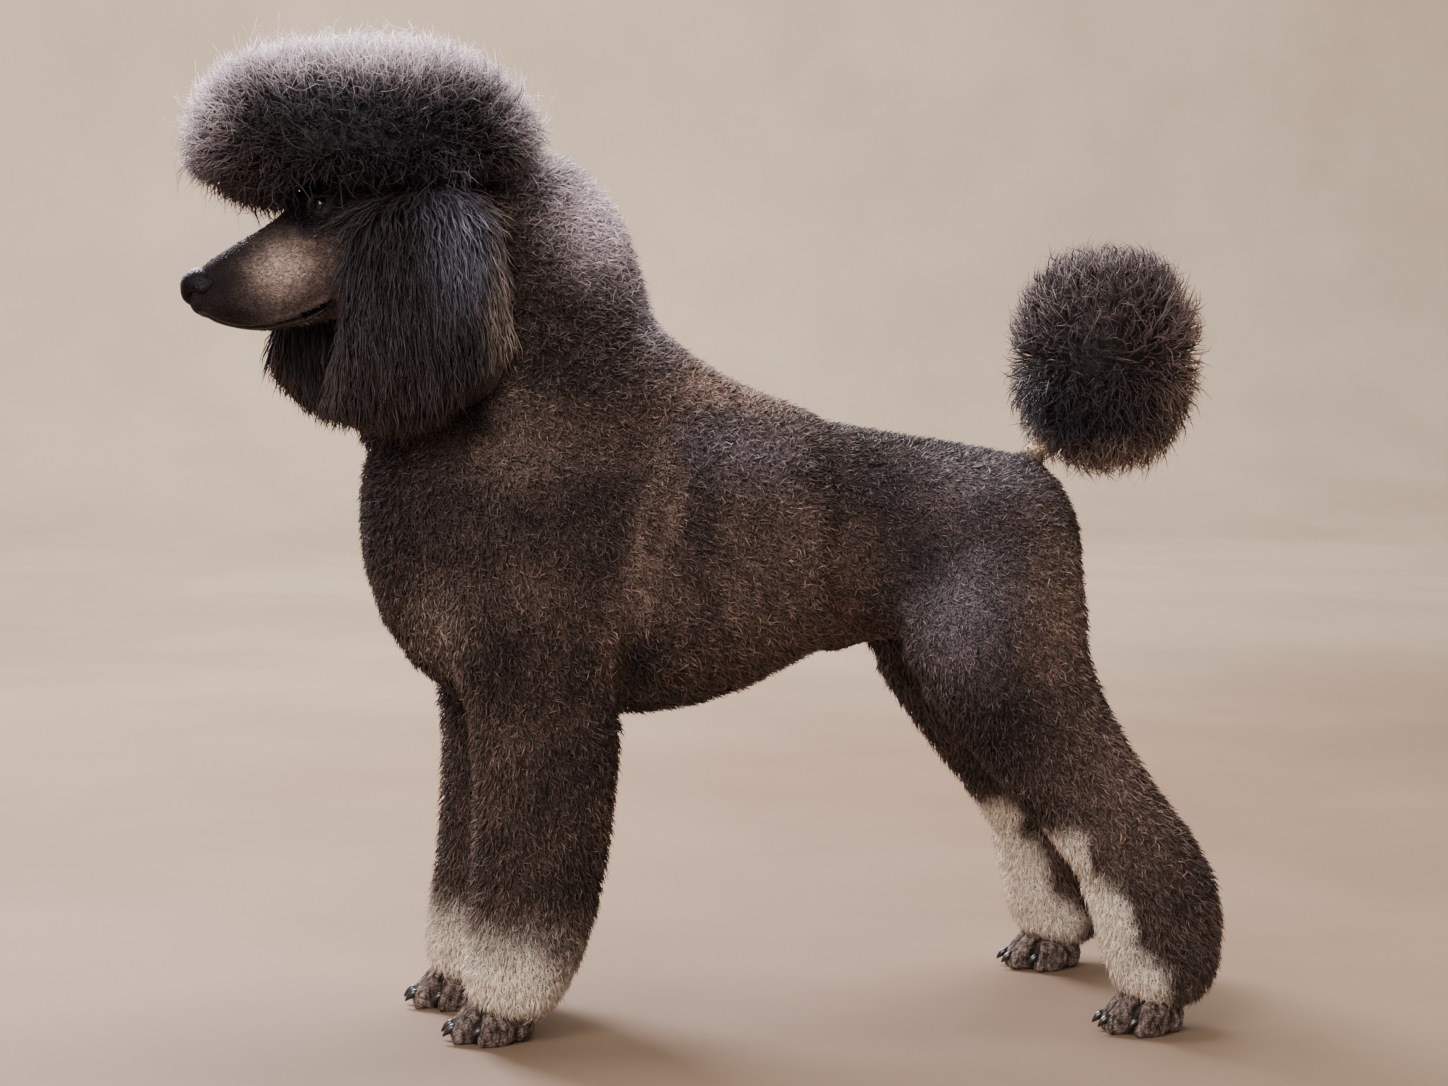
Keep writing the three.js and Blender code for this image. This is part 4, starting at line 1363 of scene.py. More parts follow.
@dataclass(frozen=True)
class GlossFinish:
    """A dark, moist or horny surface: nose leather, eyes, claws."""

    name: str
    colour: Colour
    tint: Colour
    roughness: float
    coat: float
    grain: float = 0.0
    depth: float = 0.0004
    shine: float = 0.5
    coat_roughness: float = 0.05

    def make(self) -> Material:
        """Makes the material.

        Returns:
            The material.
        """
        draft = Draft(self.name)
        wires = draft.wires
        cloud = wires.noise(draft.place, 90.0, 3.0, 0.6)["Fac"]
        smoother, rougher = self.roughness * 0.8, self.roughness * 1.2
        values = {
            "Base Color": wires.mix(wires.ramp(cloud, 0.35, 0.65, 0.0, 1.0), self.colour,
                                    self.tint),
            "Roughness": wires.ramp(cloud, 0.3, 0.7, smoother, rougher),
            "Specular IOR Level": self.shine,
            "Coat Weight": self.coat,
            "Coat Roughness": self.coat_roughness,
        }
        if self.grain:
            cells = wires.node("ShaderNodeTexVoronoi", feature="SMOOTH_F1")
            wires.link(draft.place, cells.inputs["Vector"])
            wires.link(self.grain, cells.inputs["Scale"])
            values["Normal"] = draft.bump(cells.outputs["Distance"], 0.8, -self.depth)
        return draft.finish(values)


@dataclass(frozen=True)
class PlasterFinish:
    """The pale matt plaster of the studio: a darker ground that turns to a lighter wall."""

    name: str = "studio_plaster"
    roughness: float = 0.75
    wall: tuple[Colour, Colour] = (rgb(212, 190, 170), rgb(226, 205, 185))
    ground: tuple[Colour, Colour] = (rgb(118, 96, 76), rgb(129, 107, 87))
    change: tuple[float, float] = (1.2, 5.0)

    def make(self) -> Material:
        """Makes the material.

        Returns:
            The material.
        """
        draft = Draft(self.name)
        wires = draft.wires
        cloud = wires.ramp(wires.noise(draft.place, 1.6, 5.0, 0.6)["Fac"], 0.3, 0.7, 0.0, 1.0)
        back = wires.ramp(wires.split(draft.place)[1], *self.change, 0.0, 1.0)
        colour = wires.mix(back, wires.mix(cloud, *self.ground), wires.mix(cloud, *self.wall))
        return draft.finish({"Base Color": colour, "Roughness": self.roughness})


class Slot(Enum):
    """The record's slots that the pieces take their finishes from."""

    FACE = "face_coat"
    BODY = "body_coat"
    LEG = "leg_coat"
    CROWN = "crown_coat"
    EAR = "ear_coat"
    EYE = "eye"
    NOSE = "nose_leather"
    CLAW = "claw"


COATS = {
    Slot.BODY: CoatFinish("body_coat"),
    Slot.LEG: CoatFinish("leg_coat"),
    Slot.CROWN: CoatFinish("crown_coat", tip_light=0.65, variety=0.9, pale_lift=0.35),
    Slot.EAR: CoatFinish("ear_coat", root_shade=0.5, tip_light=0.6, roughness=0.45),
    Slot.FACE: CoatFinish("face_coat", root_shade=0.8, tip_light=0.35, variety=0.4),
}
EYE_GLOSS = GlossFinish("eye_gloss", rgb(10, 7, 7), rgb(16, 10, 9), 0.06, 0.2)
NOSE_LEATHER = GlossFinish(
    "nose_leather", rgb(11, 9, 11), rgb(20, 17, 19), 0.5, 0.0, grain=620.0, depth=0.0007,
    shine=0.12,
)
CLAW_HORN = GlossFinish("claw_horn", rgb(20, 18, 18), rgb(36, 31, 29), 0.3, 0.4)


def dress(
    obj: Object, material: Material, nodes: Sequence[str] = ()
) -> None:
    """Gives a piece its material, slot and body, and hides what it stands for.

    Args:
        obj: The piece.
        material: Its material.
        nodes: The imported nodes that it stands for.
    """
    obj.data.materials.clear()
    obj.data.materials.append(material)
    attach(obj, "root")
    if nodes:
        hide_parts(*nodes)


FLOOR = 6.0
PAWS = {
    "forepaw_left": (-231.0, -70.0),
    "forepaw_right": (-257.0, 70.0),
    "hindpaw_left": (366.0, -134.0),
    "hindpaw_right": (346.0, 134.0),
}
# Each toe's place across its paw, how far it reaches forward, and its height.
TOES = ((-25.0, 11.0, 26.0), (-9.0, 34.0, 33.0), (9.0, 34.0, 33.0), (25.0, 11.0, 26.0))
BODY_NODES = (
    "chest", "loin", "rump", "sheath", "tail",
    *(f"{part}_{side}" for part in ("foreleg", "fore_cuff", "thigh", "shank", "hind_cuff")
      for side in ("left", "right")),
)
HEAD_NODES = ("skull", "muzzle", "lower_jaw")


# Depth of the hair on the trunk, loin, thighs and neck, and where it is clipped close.
TRUNK_HAIR, LOIN_HAIR, THIGH_HAIR, NECK_HAIR, CLIPPED = 10.0, 8.0, 10.0, 13.0, 2.0
# Hair that is shallower than this counts as clipped.
CLIPPED_BELOW = 4.0
TAIL_ROOT = (318, 0, 552)


def coat_depth(point: Array) -> Array:
    """How deep the skin lies under the body's outer form, in millimetres.

    Args:
        point: Points of the drawing.

    Returns:
        The coat's depth at each point.
    """
    x, y, z = point.T
    from_tail = np.linalg.norm((point - np.array(TAIL_ROOT)) * [0.5, 1, 0.5], axis=1)
    belly = smooth(376, 366, z) * smooth(60, 84, x) * smooth(170, 160, x)
    depth = np.full(len(point), TRUNK_HAIR)
    for there, where in (
        (LOIN_HAIR, smooth(70, 110, x) * smooth(300, 380, z)),
        (THIGH_HAIR, smooth(380, 250, z) * smooth(120, 200, x)),
        (NECK_HAIR, smooth(600, 660, z)),
        (CLIPPED, smooth(20, 12, from_tail)),
        (CLIPPED, belly * smooth(20, 12, np.abs(y))),
    ):
        depth += (there - depth) * where
    return depth


def body_lie(point: Array) -> Array:
    """The direction in which the coat of neck, trunk and legs lies.

    Args:
        point: Points of the drawing.

    Returns:
        A direction at each point, not yet brought onto the surface.
    """
    x, _, z = point.T
    lie = np.tile([0.8, 0.0, -0.6], (len(point), 1))
    for way, where in (
        ((0.1, 0.0, -1.0), smooth(-250, -320, x)),
        ((0.35, 0.0, -0.9), smooth(-60, -160, x) * smooth(600, 520, z)),
        ((0.75, 0.0, -0.6), smooth(560, 600, z)),
        ((0.12, 0.0, -1.0), smooth(320, 240, z)),
        ((0.3, 0.0, -0.95), smooth(140, 200, x) * smooth(470, 380, z)),
    ):
        lie += (np.array(way) - lie) * where[:, None]
    return lie


FACE = Form(Axis.X, (
    (-246, 752, 762, 0, 757, 0), (-258, 722, 795, 38, 757, 0), (-290, 690, 815, 55, 750, 0),
    (-330, 670, 818, 61, 742, 0), (-365, 661, 808, 57, 730, 0), (-390, 656, 777, 46.5, 713, 0),
    (-408, 652, 755, 37.5, 703, 0), (-428, 650, 741, 30.5, 696, 0),
    (-448, 652, 729.5, 26.5, 690, 0), (-466, 657, 718, 23, 686, 0),
    (-478, 664, 709, 18.5, 684, 0), (-486, 669, 698, 13, 681, 0), (-490.5, 677, 687, 0, 681, 0),
), 2.15, 2.3)
NOSE = Form(Axis.X, (
    (-463.5, 693, 698, 0, 695.5, 0), (-467, 687, 702, 21.4, 694, 0),
    (-472, 680, 706, 21.8, 692, 0), (-478, 675, 708.5, 20.8, 691, 0),
    (-485, 673.5, 708, 18.6, 690, 0), (-491, 675.5, 704.5, 15.2, 690, 0),
    (-495.5, 680, 699.5, 10.5, 690, 0), (-498, 687, 693, 0, 690, 0),
), 2.25)
# The slit of the left nostril, from its round opening in front to the wing's rear end
NOSTRIL = ((-487, 14, 681), (-482, 17.5, 679), (-476, 20.5, 679.5), (-470.5, 22, 683),
           (-467.5, 22.4, 689), (-466, 21.8, 695))
MOUTH = ((-478, 667), (-470, 662.5), (-462, 658.5), (-450, 655), (-437, 654), (-418, 655.5),
         (-396, 661.5), (-380, 669), (-364, 677.5))


def mouth_height(x: Array | float) -> Array | float:
    """Level of the line of the mouth at a place along the muzzle, in millimetres."""
    return np.interp(x, *zip(*MOUTH))


def off_line(points: Array, line: Sequence[Sequence[float]]) -> tuple[Array, Array]:
    """How far points are from a line of straight stretches, and the way along it.

    Args:
        points: Points of the drawing.
        line: Corners of the line.

    Returns:
        Distance of each point, and its share along the line.
    """
    corners = np.array(line, float)
    best = np.full(len(points), np.inf)
    share = np.zeros(len(points))
    for i in range(len(corners) - 1):
        a, way = corners[i], corners[i + 1] - corners[i]
        t = np.clip((points - a) @ way / (way @ way), 0, 1)
        away = np.linalg.norm(points - (a + t[:, None] * way), axis=1)
        near = away < best
        best[near] = away[near]
        share[near] = ((i + t) / (len(corners) - 1))[near]
    return best, share


@dataclass(frozen=True)
class Fold:
    """A fold of the coat along a line, alike on both sides of the body.

    It is pressed in behind the line and stands out a little in front of it.
    """

    line: tuple[Triple, ...]
    depth: float
    width: float
    ridge: float = 0.0

    def push(self, point: Array) -> Array:
        """How far the coat stands out at points of the drawing, in millimetres.

        Args:
            point: The points.

        Returns:
            A push for each point.
        """
        point = folded(point)
        flat = [(x, 0, z) for x, _, z in self.line]
        away, share = off_line(point * [1, 0, 1], flat)
        side = off_line(point, self.line)[0]
        ends = smooth(0, 0.15, share) * smooth(1, 0.85, share) * smooth(70, 40, side)
        corners = np.array(self.line)
        order = np.argsort(corners[:, 2])
        behind = point[:, 0] > np.interp(point[:, 2], corners[order, 2], corners[order, 0])
        groove = -self.depth * np.exp(-((away / self.width) ** 2))
        ridge = self.ridge * np.exp(-((away / self.width - 1) ** 2))
        return ends * np.where(behind, groove, np.where(away < self.width, 1, 0) * groove + ridge)


FOLDS = (
    Fold(((-58, 139, 545), (-85, 140, 450), (-112, 130, 375), (-106, 122, 305)), 4.0, 9.0, 2.0),
    Fold(((-118, 125, 352), (-104, 122, 330), (-112, 118, 300)), 5.0, 11.0),
    Fold(((88, 105, 555), (90, 120, 500), (80, 125, 445), (82, 110, 380)), 4.0, 10.0, 2.0),
    Fold(((-196, 112, 618), (-179, 112, 625), (-148, 112, 641), (-130, 108, 650)), 5.0, 7.0),
    Fold(((120, 95, 400), (146, 112, 352), (170, 112, 320)), 4.0, 11.0, 1.0),
)


def swelling(point: Array, centre: Triple, radii: Triple) -> Array:
    """A soft swelling on both sides of the middle plane, 1 at its centre."""
    away = (folded(point) - np.array(centre)) / np.array(radii)
    return np.exp(-(away**2).sum(1))


def ridge(away: Array, width: float) -> Array:
    """A soft ridge of a half width, 1 where it runs and 0 far from it."""
    return np.exp(-((away / width) ** 2))


def turned(co: Array, axis: str, angle: float) -> Array:
    """Points turned about an axis through the origin.

    Args:
        co: The points.
        axis: x, y or z.
        angle: The turn in radians.

    Returns:
        The turned points.
    """
    c, s = math.cos(angle), math.sin(angle)
    turn = {
        "x": [[1, 0, 0], [0, c, -s], [0, s, c]],
        "y": [[c, 0, s], [0, 1, 0], [-s, 0, c]],
        "z": [[c, -s, 0], [s, c, 0], [0, 0, 1]],
    }[axis]
    return co @ np.array(turn).T


def on_floor(rows: Sequence[Sequence[float]], name: str, around: int) -> Object:
    """A part of a foot.

    Args:
        rows: Its slices, with their levels counted up from the floor.
        name: Name of the object.
        around: Corners of a ring.

    Returns:
        The object.
    """
    raised = np.array(rows) + np.array([0, FLOOR, FLOOR, 0, FLOOR, 0])
    return Form(Axis.X, tuple(map(tuple, raised)), 2.2, 2.6).build(name, around, 28)


@dataclass
class Skin:
    """The one skin of the dog: trunk, neck, legs, shaved head and feet.

    The voxels that its parts are remeshed by are in metres, the rest in millimetres, and
    the rounds are those of smoothing after a remesh.
    """

    voxel: float = 0.005
    face_voxel: float = 0.0016
    paw_voxel: float = 0.0018
    form_rounds: int = 12
    body_rounds: int = 6
    face_rounds: int = 5
    paw_rounds: int = 3
    kept_faces: float = 0.33
    rooted: float = 3.0
    eye_socket: float = 10.9
    lid_radius: float = 8.8
    lid_thickness: float = 2.7
    lid_squash: Triple = (1.12, 0.8, 1)
    lid_lean: Triple = (-0.2, 0.25, -0.45)
    lip_ends: tuple[float, ...] = (-404, -398, -390, -380, -372, -366)
    lip_radii: tuple[float, ...] = (0.0, 1.8, 3.0, 3.4, 2.6, 0.0)
    lip_drop: float = 4.2
    relief_reach: int = 14
    form: Object | None = field(default=None, init=False)
    head_surface: Surface | None = field(default=None, init=False)

    def envelope(self) -> Object:
        """The outer form of neck, trunk and legs, out to the tips of the coat.

        Returns:
            The form.
        """
        pieces = [copy_node(name) for name in BODY_NODES] + [NECK.build("neck_form")]
        form = remesh(join(pieces, "coat_form"), self.voxel, self.form_rounds)
        point = drawn(vertices(form))
        stand_out(form, sum(fold.push(point) for fold in FOLDS))
        return form

    def trunk(self) -> Object:
        """The envelope drawn in by the depth of the coat.

        Returns:
            The form, apart from the envelope.
        """
        self.form = self.envelope()
        body = linked("skin_body", self.form.data.copy())
        depth = coat_depth(drawn(vertices(body)))
        stand_out(body, -np.where(depth > CLIPPED_BELOW, depth - self.rooted, depth))
        relax(body, self.body_rounds)
        apply_modifier(body, "DECIMATE", ratio=self.kept_faces)
        return body

    def face(self) -> Object:
        """Skull, muzzle and jaw with lids, lips and the line of the mouth.

        Returns:
            The head.
        """
        parts = [FACE.build("skin_head", 96, 120)]
        parts += [self.lid(side) for side in SIDES] + [self.lip(side) for side in SIDES]
        head = remesh(join(parts, "skin_head"), self.face_voxel, self.face_rounds)
        self.open_eyes(head)
        self.shape_face(head)
        return head

    def lid(self, side: int) -> Object:
        """The rim of one eye's lids.

        Args:
            side: LEFT or RIGHT.

        Returns:
            The rim.
        """
        ring = primitive("torus", "lid", major_radius=self.lid_radius * MM,
                         minor_radius=self.lid_thickness * MM, major_segments=40,
                         minor_segments=12)
        # The ring is turned from lying flat to facing sideways, forward and up
        co = (vertices(ring) * self.lid_squash)[:, [0, 2, 1]] * [1, 1, -1]
        tip, forward, aside = self.lid_lean
        for axis, angle in (("y", forward), ("z", side * aside), ("x", side * tip)):
            co = turned(co, axis, angle)
        set_vertices(ring, co + placed(eye_centre(side) + [-3.0, side * 6.5, 0.8]))
        return ring

    def lip(self, side: int) -> Object:
        """The moist lower lip that shows near one corner of the mouth.

        Args:
            side: LEFT or RIGHT.

        Returns:
            The lip.
        """
        across = np.interp(self.lip_ends, (-408, -390, -365), (24, 31, 40))
        rows = []
        for x, radius, y in zip(self.lip_ends, self.lip_radii, across):
            z = float(mouth_height(x)) - self.lip_drop
            rows.append((x, z - radius, z + radius, radius, z, side * y))
        return Form(Axis.X, tuple(rows)).build("lip", 16, 24)

    def open_eyes(self, head: Object) -> None:
        """Cuts the socket of each eye.

        Args:
            head: The head, changed in place.
        """
        for side in SIDES:
            ball = primitive("uv_sphere", "socket", segments=32, ring_count=20,
                             radius=self.eye_socket * MM, location=placed(eye_centre(side)))
            apply_modifier(head, "BOOLEAN", operation="DIFFERENCE", object=ball, solver="EXACT")
            remove(ball)

    def shape_face(self, head: Object) -> None:
        """Presses the line of the mouth in and raises the soft forms of the muzzle.

        Args:
            head: The head, changed in place.
        """
        point = drawn(vertices(head))
        x, y, z = point.T
        above = z - mouth_height(x)
        run = smooth(-360, -368, x) * smooth(-479, -473, x)
        groove = ridge(above, 1.5) * run * (3.6 + 2.4 * smooth(-405, -385, x))
        tuck = smooth(0.5, -1.5, above) * smooth(-9, -4, above) * run * 1.6
        tuck *= smooth(-384, -398, x)
        overhang = ridge(above - 5, 4.0) * run * 1.3
        whiskers = swelling(point, (-452, 24, 678), (20, 14, 13)) * 2.0
        cheek = swelling(point, (-398, 36, 700), (24, 16, 20)) * 1.2
        hollow = swelling(point, (-412, 26, 735), (20, 14, 12)) * 1.6
        philtrum = ridge(y, 1.0) * smooth(-472, -480, x) * smooth(684, 678, z) * 1.4
        stand_out(head, overhang + whiskers + cheek - hollow - groove - tuck - philtrum)

    def paws(self) -> list[Object]:
        """The four shaved feet.

        Returns:
            A form for each foot.
        """
        feet = []
        for name, place in PAWS.items():
            parts = [self.heel(place)] + [self.toe(place, *toe) for toe in TOES]
            foot = remesh(join(parts, f"skin_{name}"), self.paw_voxel, self.paw_rounds)
            # Sinews run down from the instep over each knuckle
            x, y, z = drawn(vertices(foot)).T
            wave = np.sin(y * 1.15 + 2.0 * np.sin(x * 0.16) + z * 0.12)
            wave += 0.6 * np.sin(x * 0.52 - z * 0.4 + 1.7 * np.sin(y * 0.2))
            stand_out(foot, wave * 0.55 * smooth(10, 20, z))
            co = vertices(foot)
            co[:, 2] = np.maximum(co[:, 2], placed((0, 0, FLOOR))[2])
            set_vertices(foot, co)
            feet.append(foot)
        return feet

    def toe(
        self, place: tuple[float, float], across: float, reach: float, height: float
    ) -> Object:
        """One toe: up from the instep, over a bony knuckle and down to its rounded tip.

        Args:
            place: Where its paw stands.
            across: How far it is to the side of the paw's middle.
            reach: How far forward its tip is.
            height: How high its knuckle is.

        Returns:
            The toe.
        """
        x, y = place
        rows = (
            (x + 32, 10, 20, 0, 15, y + across * 0.7),
            (x + 14, -1, height + 4, 9.5, 15, y + across * 0.88),
            (x - reach * 0.3, -1, height + 4, 10.2, 15, y + across),
            (x - reach * 0.55, -1, height - 2, 10.6, 13, y + across),
            (x - reach * 0.78, -1, height - 12, 10.4, 10, y + across),
            (x - reach * 0.93, 0, height - 17, 8.2, 9, y + across),
            (x - reach, 5, 11, 0, 8, y + across),
        )
        return on_floor(rows, "toe", 24)

    def heel(self, place: tuple[float, float]) -> Object:
        """The instep and the pads behind the toes.

        Args:
            place: Where the paw stands.

        Returns:
            The form.
        """
        x, y = place
        rows = (
            (x - 4, 10, 14, 0, 12, y),
            (x + 8, 3, 38, 21, 15, y),
            (x + 22, -1, 38, 24, 14, y),
            (x + 36, -1, 28, 18, 12, y),
            (x + 44, 8, 18, 0, 12, y),
        )
        return on_floor(rows, "heel", 32)

    def build(self, effects: Effects) -> None:
        """The whole skin as one dressed piece.

        Args:
            effects: The node groups.
        """
        head = self.face()
        self.head_surface = Surface.of(head)
        skin = join([self.trunk(), head, *self.paws()], "skin")
        # The relief is read by the bare skin for painted shade in hollows and painted highlights
        # on bumps
        set_numbers(skin, "skin_relief", self.relief(skin))
        set_numbers(skin, "skin_lip", self.lips(drawn(vertices(skin))))
        shade_smooth(skin)
        hidden = (*BODY_NODES, *PAWS, *HEAD_NODES, "neck")
        dress(skin, SkinFinish().make(effects), hidden)

    def lips(self, point: Array) -> Array:
        """Where the dark, moist rim of the lips is, from 0 to 1.

        Args:
            point: Points of the drawing.

        Returns:
            The share at each point.
        """
        x, y, z = point.T
        above = z - mouth_height(x)
        rear = smooth(-408, -392, x)
        rim = smooth(-3.0 - 6.5 * rear, -1.5 - 5.0 * rear, above) * smooth(3.4, 2.0, above)
        inside = (x < -358) & (x > -482) & (np.abs(y) < 60) & (z < 690) & (z > 640)
        return np.where(inside, rim, 0.0)

    def relief(self, skin: Object) -> Array:
        """How far each vertex stands out of its neighbourhood, from 0 to 1.

        Args:
            skin: The skin.

        Returns:
            The share at each vertex.
        """
        a, b = read(skin.data.edges, "vertices", 2, np.int32).T
        start = vertices(skin)
        co = start.copy()
        ends, others = np.concatenate([a, b]), np.concatenate([b, a])
        count = np.maximum(np.bincount(ends, minlength=len(co)), 1)[:, None]
        for _ in range(self.relief_reach):
            total = [np.bincount(ends, co[others, k], len(co)) for k in range(3)]
            co = np.stack(total, axis=1) / count
        out = ((start - co) * vertex_normals(skin)).sum(1) / MM
        return np.clip(0.42 + out * 0.55, 0.0, 1.0)


@dataclass(frozen=True)
class Eyes:
    """Two dark, moist eyes with bulging corneas."""

    radius: float = 10.4
    bulge: float = 0.06
    gaze: Triple = (-0.45, 0.87, 0.18)

    def build(self) -> None:
        """Both eyeballs as dressed pieces."""
        finish = EYE_GLOSS.make()
        for side, name in SIDES.items():
            ball = primitive("uv_sphere", f"eyeball_{name}", segments=48, ring_count=32,
                             radius=self.radius * MM)
            co = vertices(ball)
            gaze = unit(np.array(self.gaze) * [1, side, 1])
            co *= (1 + self.bulge * smooth(0.75, 0.95, unit(co) @ gaze))[:, None]
            set_vertices(ball, co + placed(eye_centre(side)))
            shade_smooth(ball)
            dress(ball, finish, (f"eye_{name}",))


@dataclass(frozen=True)
class Nose:
    """The nose leather."""

    voxel: float = 0.0008

    def build(self) -> None:
        """The leather over the muzzle's end, with its nostrils and wings."""
        nose = remesh(NOSE.build("nose_leather", 96, 80), self.voxel, 2)
        co, way = vertices(nose), vertex_normals(nose)
        point = drawn(co)
        _, y, z = point.T
        away, share = off_line(folded(point), NOSTRIL)
        pit = swelling(point, (-485.5, 15, 681.5), (7.2, 5.5, 4.8)) * 9.5
        slit = ridge(away, 1.7) * (4.6 - 2.0 * share)
        wing = swelling(point, (-479, 20, 687), (7, 5, 4.0)) * 1.6
        bridge = ridge(y, 1.0) * smooth(694, 686, z) * 1.3
        push = wing - slit - bridge
        inward = np.array([0.5, 0.0, 0.25]) - np.sign(point[:, 1:2]) * [0.0, 0.8, 0.0]
        set_vertices(nose, co + (way * push[:, None] + inward * pit[:, None]) * MM)
        shade_smooth(nose)
        dress(nose, NOSE_LEATHER.make(), ("nose",))


@dataclass(frozen=True)
class Claws:
    """Sixteen curved claws, each at its packed one, in rings of a few corners."""

    around: int = 14
    along: int = 20

    def build(self) -> None:
        """All claws as one dressed piece."""
        names = sorted(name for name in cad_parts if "_claw_" in name)
        claws = join([self.claw(*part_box(name)) for name in names], "claws")
        shade_smooth(claws)
        dress(claws, CLAW_HORN.make(), names)

    def claw(self, low: Vector, high: Vector) -> Object:
        """One claw that grows out of its toe's tip and curves down to a blunt point.

        Args:
            low: Lowest corner of its node's box.
            high: Highest corner.

        Returns:
            The claw.
        """
        tip, base = drawn(np.array(low)), drawn(np.array(high))
        y, x, z = (tip[1] + base[1]) / 2, tip[0], tip[2]
        rows = (
            (x + 16, z + 6, z + 8, 0, z + 7, y),
            (x + 13, z + 3.5, z + 12, 3.0, z + 8, y),
            (x + 8, z + 3, z + 12, 3.4, z + 8, y),
            (x + 3.5, z + 1.6, z + 8.6, 2.7, z + 5.5, y),
            (x + 1.2, z + 0.6, z + 5.0, 1.7, z + 3, y),
            (x, z + 0.6, z + 2.4, 0, z + 1.4, y),
        )
        return Form(Axis.X, rows).build("claw", self.around, self.along)


@dataclass(frozen=True)
class Layers:
    """The fine strands of a part of the coat over its thicker fill."""

    under: Strand
    over: Strand


SHORT_COAT = Layers(
    Strand(2.2, root_lean=0.25, tip_lean=0.6, curl=1.2, shade=(0.0, 0.6)),
    Strand(1.3, root_lean=0.15, tip_lean=0.6, stray=0.8, curl=2.2, turns=1.2, rings=2,
           pull=0.15, fly=0.1, shade=(0.25, 1.0)),
)
LEG_COAT = Layers(
    Strand(2.2, root_lean=0.35, tip_lean=0.72, curl=1.4, shade=(0.0, 0.6)),
    Strand(1.3, root_lean=0.3, tip_lean=0.72, stray=0.6, curl=2.2, turns=1.2, rings=2,
           pull=0.25, fly=0.12, shade=(0.25, 1.0)),
)
# The soft pale hair of the cuffs and of the hind legs' fronts
CUFF_COAT = Strand(1.1, root_lean=0.35, tip_lean=0.75, stray=0.45, curl=1.9, turns=1.1, rings=2,
                   pull=0.3, fly=0.1, together=0.8, shade=(0.3, 1.0))
MANE_COAT = Layers(
    Strand(2.2, root_lean=0.1, tip_lean=0.45, curl=2.0, turns=1.0, shade=(0.0, 0.62)),
    Strand(1.3, root_lean=0.05, tip_lean=0.45, stray=0.75, curl=3.0, turns=1.4, rings=3,
           pull=0.15, fly=0.16, shade=(0.25, 1.0)),
)
CROWN_COAT = Layers(
    Strand(1.8, root_lean=0.05, tip_lean=0.2, stray=0.5, curl=2.8, turns=1.2, rings=2,
           clump=13, taper=1.2, shade=(0.0, 0.65)),
    Strand(1.05, root_lean=0.05, tip_lean=0.2, vary=0.2, stray=0.8, curl=4.2, turns=1.7,
           rings=5, clump=12, pull=0.1, fly=0.4, fly_reach=1.25, fly_width=0.8, taper=1.1,
           shade=(0.3, 1.0)),
)
POM_COAT = Layers(
    Strand(1.9, root_lean=0.1, tip_lean=0.5, vary=0.12, stray=0.6, curl=3.6, turns=0.8, rings=2,
           clump=16, pull=0.25, fly=0.1, fly_reach=1.12, fly_width=0.9, together=0.85, taper=1.0,
           shade=(0.0, 0.75)),
    Strand(0.95, root_lean=0.1, tip_lean=0.6, vary=0.15, stray=0.8, curl=5.0, turns=1.4,
           rings=4, clump=14, pull=0.12, fly=0.3, fly_reach=1.12, fly_width=0.85, together=0.6,
           taper=0.95, shade=(0.3, 1.0)),
)
# The ears' fill and waves, the hair of muzzle and cheeks, and that of temples and skull
EAR_COAT = Layers(
    Strand(2.3, 60, 0.86, 0.97, vary=0.2, stray=0.12, curl=2.6, turns=1.7, rings=5, clump=14,
           pull=0.25, fly=0.05, fly_reach=1.0, together=0.9, shade=(0.0, 0.75)),
    Strand(1.0, 50, 0.76, 0.97, vary=0.3, stray=0.2, curl=2.4, turns=2.2, rings=7, clump=12,
           pull=0.2, fly=0.2, fly_reach=1.05, together=0.6, shade=(0.3, 1.0)),
)
FACE_HAIR = Strand(0.75, 6.0, 0.72, 0.96, vary=0.3, stray=0.55, curl=1.1, turns=1.0, rings=2,
                   clump=6, pull=0.1, fly=0.0)
TEMPLE_HAIR = Strand(1.3, 22, 0.3, 0.75, vary=0.3, stray=0.5, curl=2.4, turns=1.4, rings=3,
                     clump=9, fly=0.1)


@dataclass(frozen=True)
class Ball:
    """A rounded mass of curls over a dense core: the topknot or the tail's pom.

    The hair grows away from the heart. It is as deep as depth, the core lies core_depth
    under its form, and spacing is that of its two layers, in millimetres. The hair may be
    parted in two pieces along x.
    """

    hair: str
    undercoat: str
    node: str
    form: Form
    heart: Triple
    coat: Layers
    spacing: tuple[float, float]
    seed: int
    split: float | None = None
    depth: float = 26.0
    core_depth: float = 24.0


BALLS = (
    Ball("topknot_hair", "topknot_undercoat", "topknot", CROWN, (-330, 0, 815), CROWN_COAT,
         (3.7, 6.0), 21, split=-335),
    Ball("tail_pom_hair", "tail_pom_undercoat", "tail_pom", POM, (368, 0, 622), POM_COAT,
         (4.9, 6.0), 22),
)


@dataclass(frozen=True)
class Area:
    """A piece of the body's coat: which points are its own, its layers and its map."""

    name: str
    where: Array
    coat: Layers
    unwrap: Unwrap


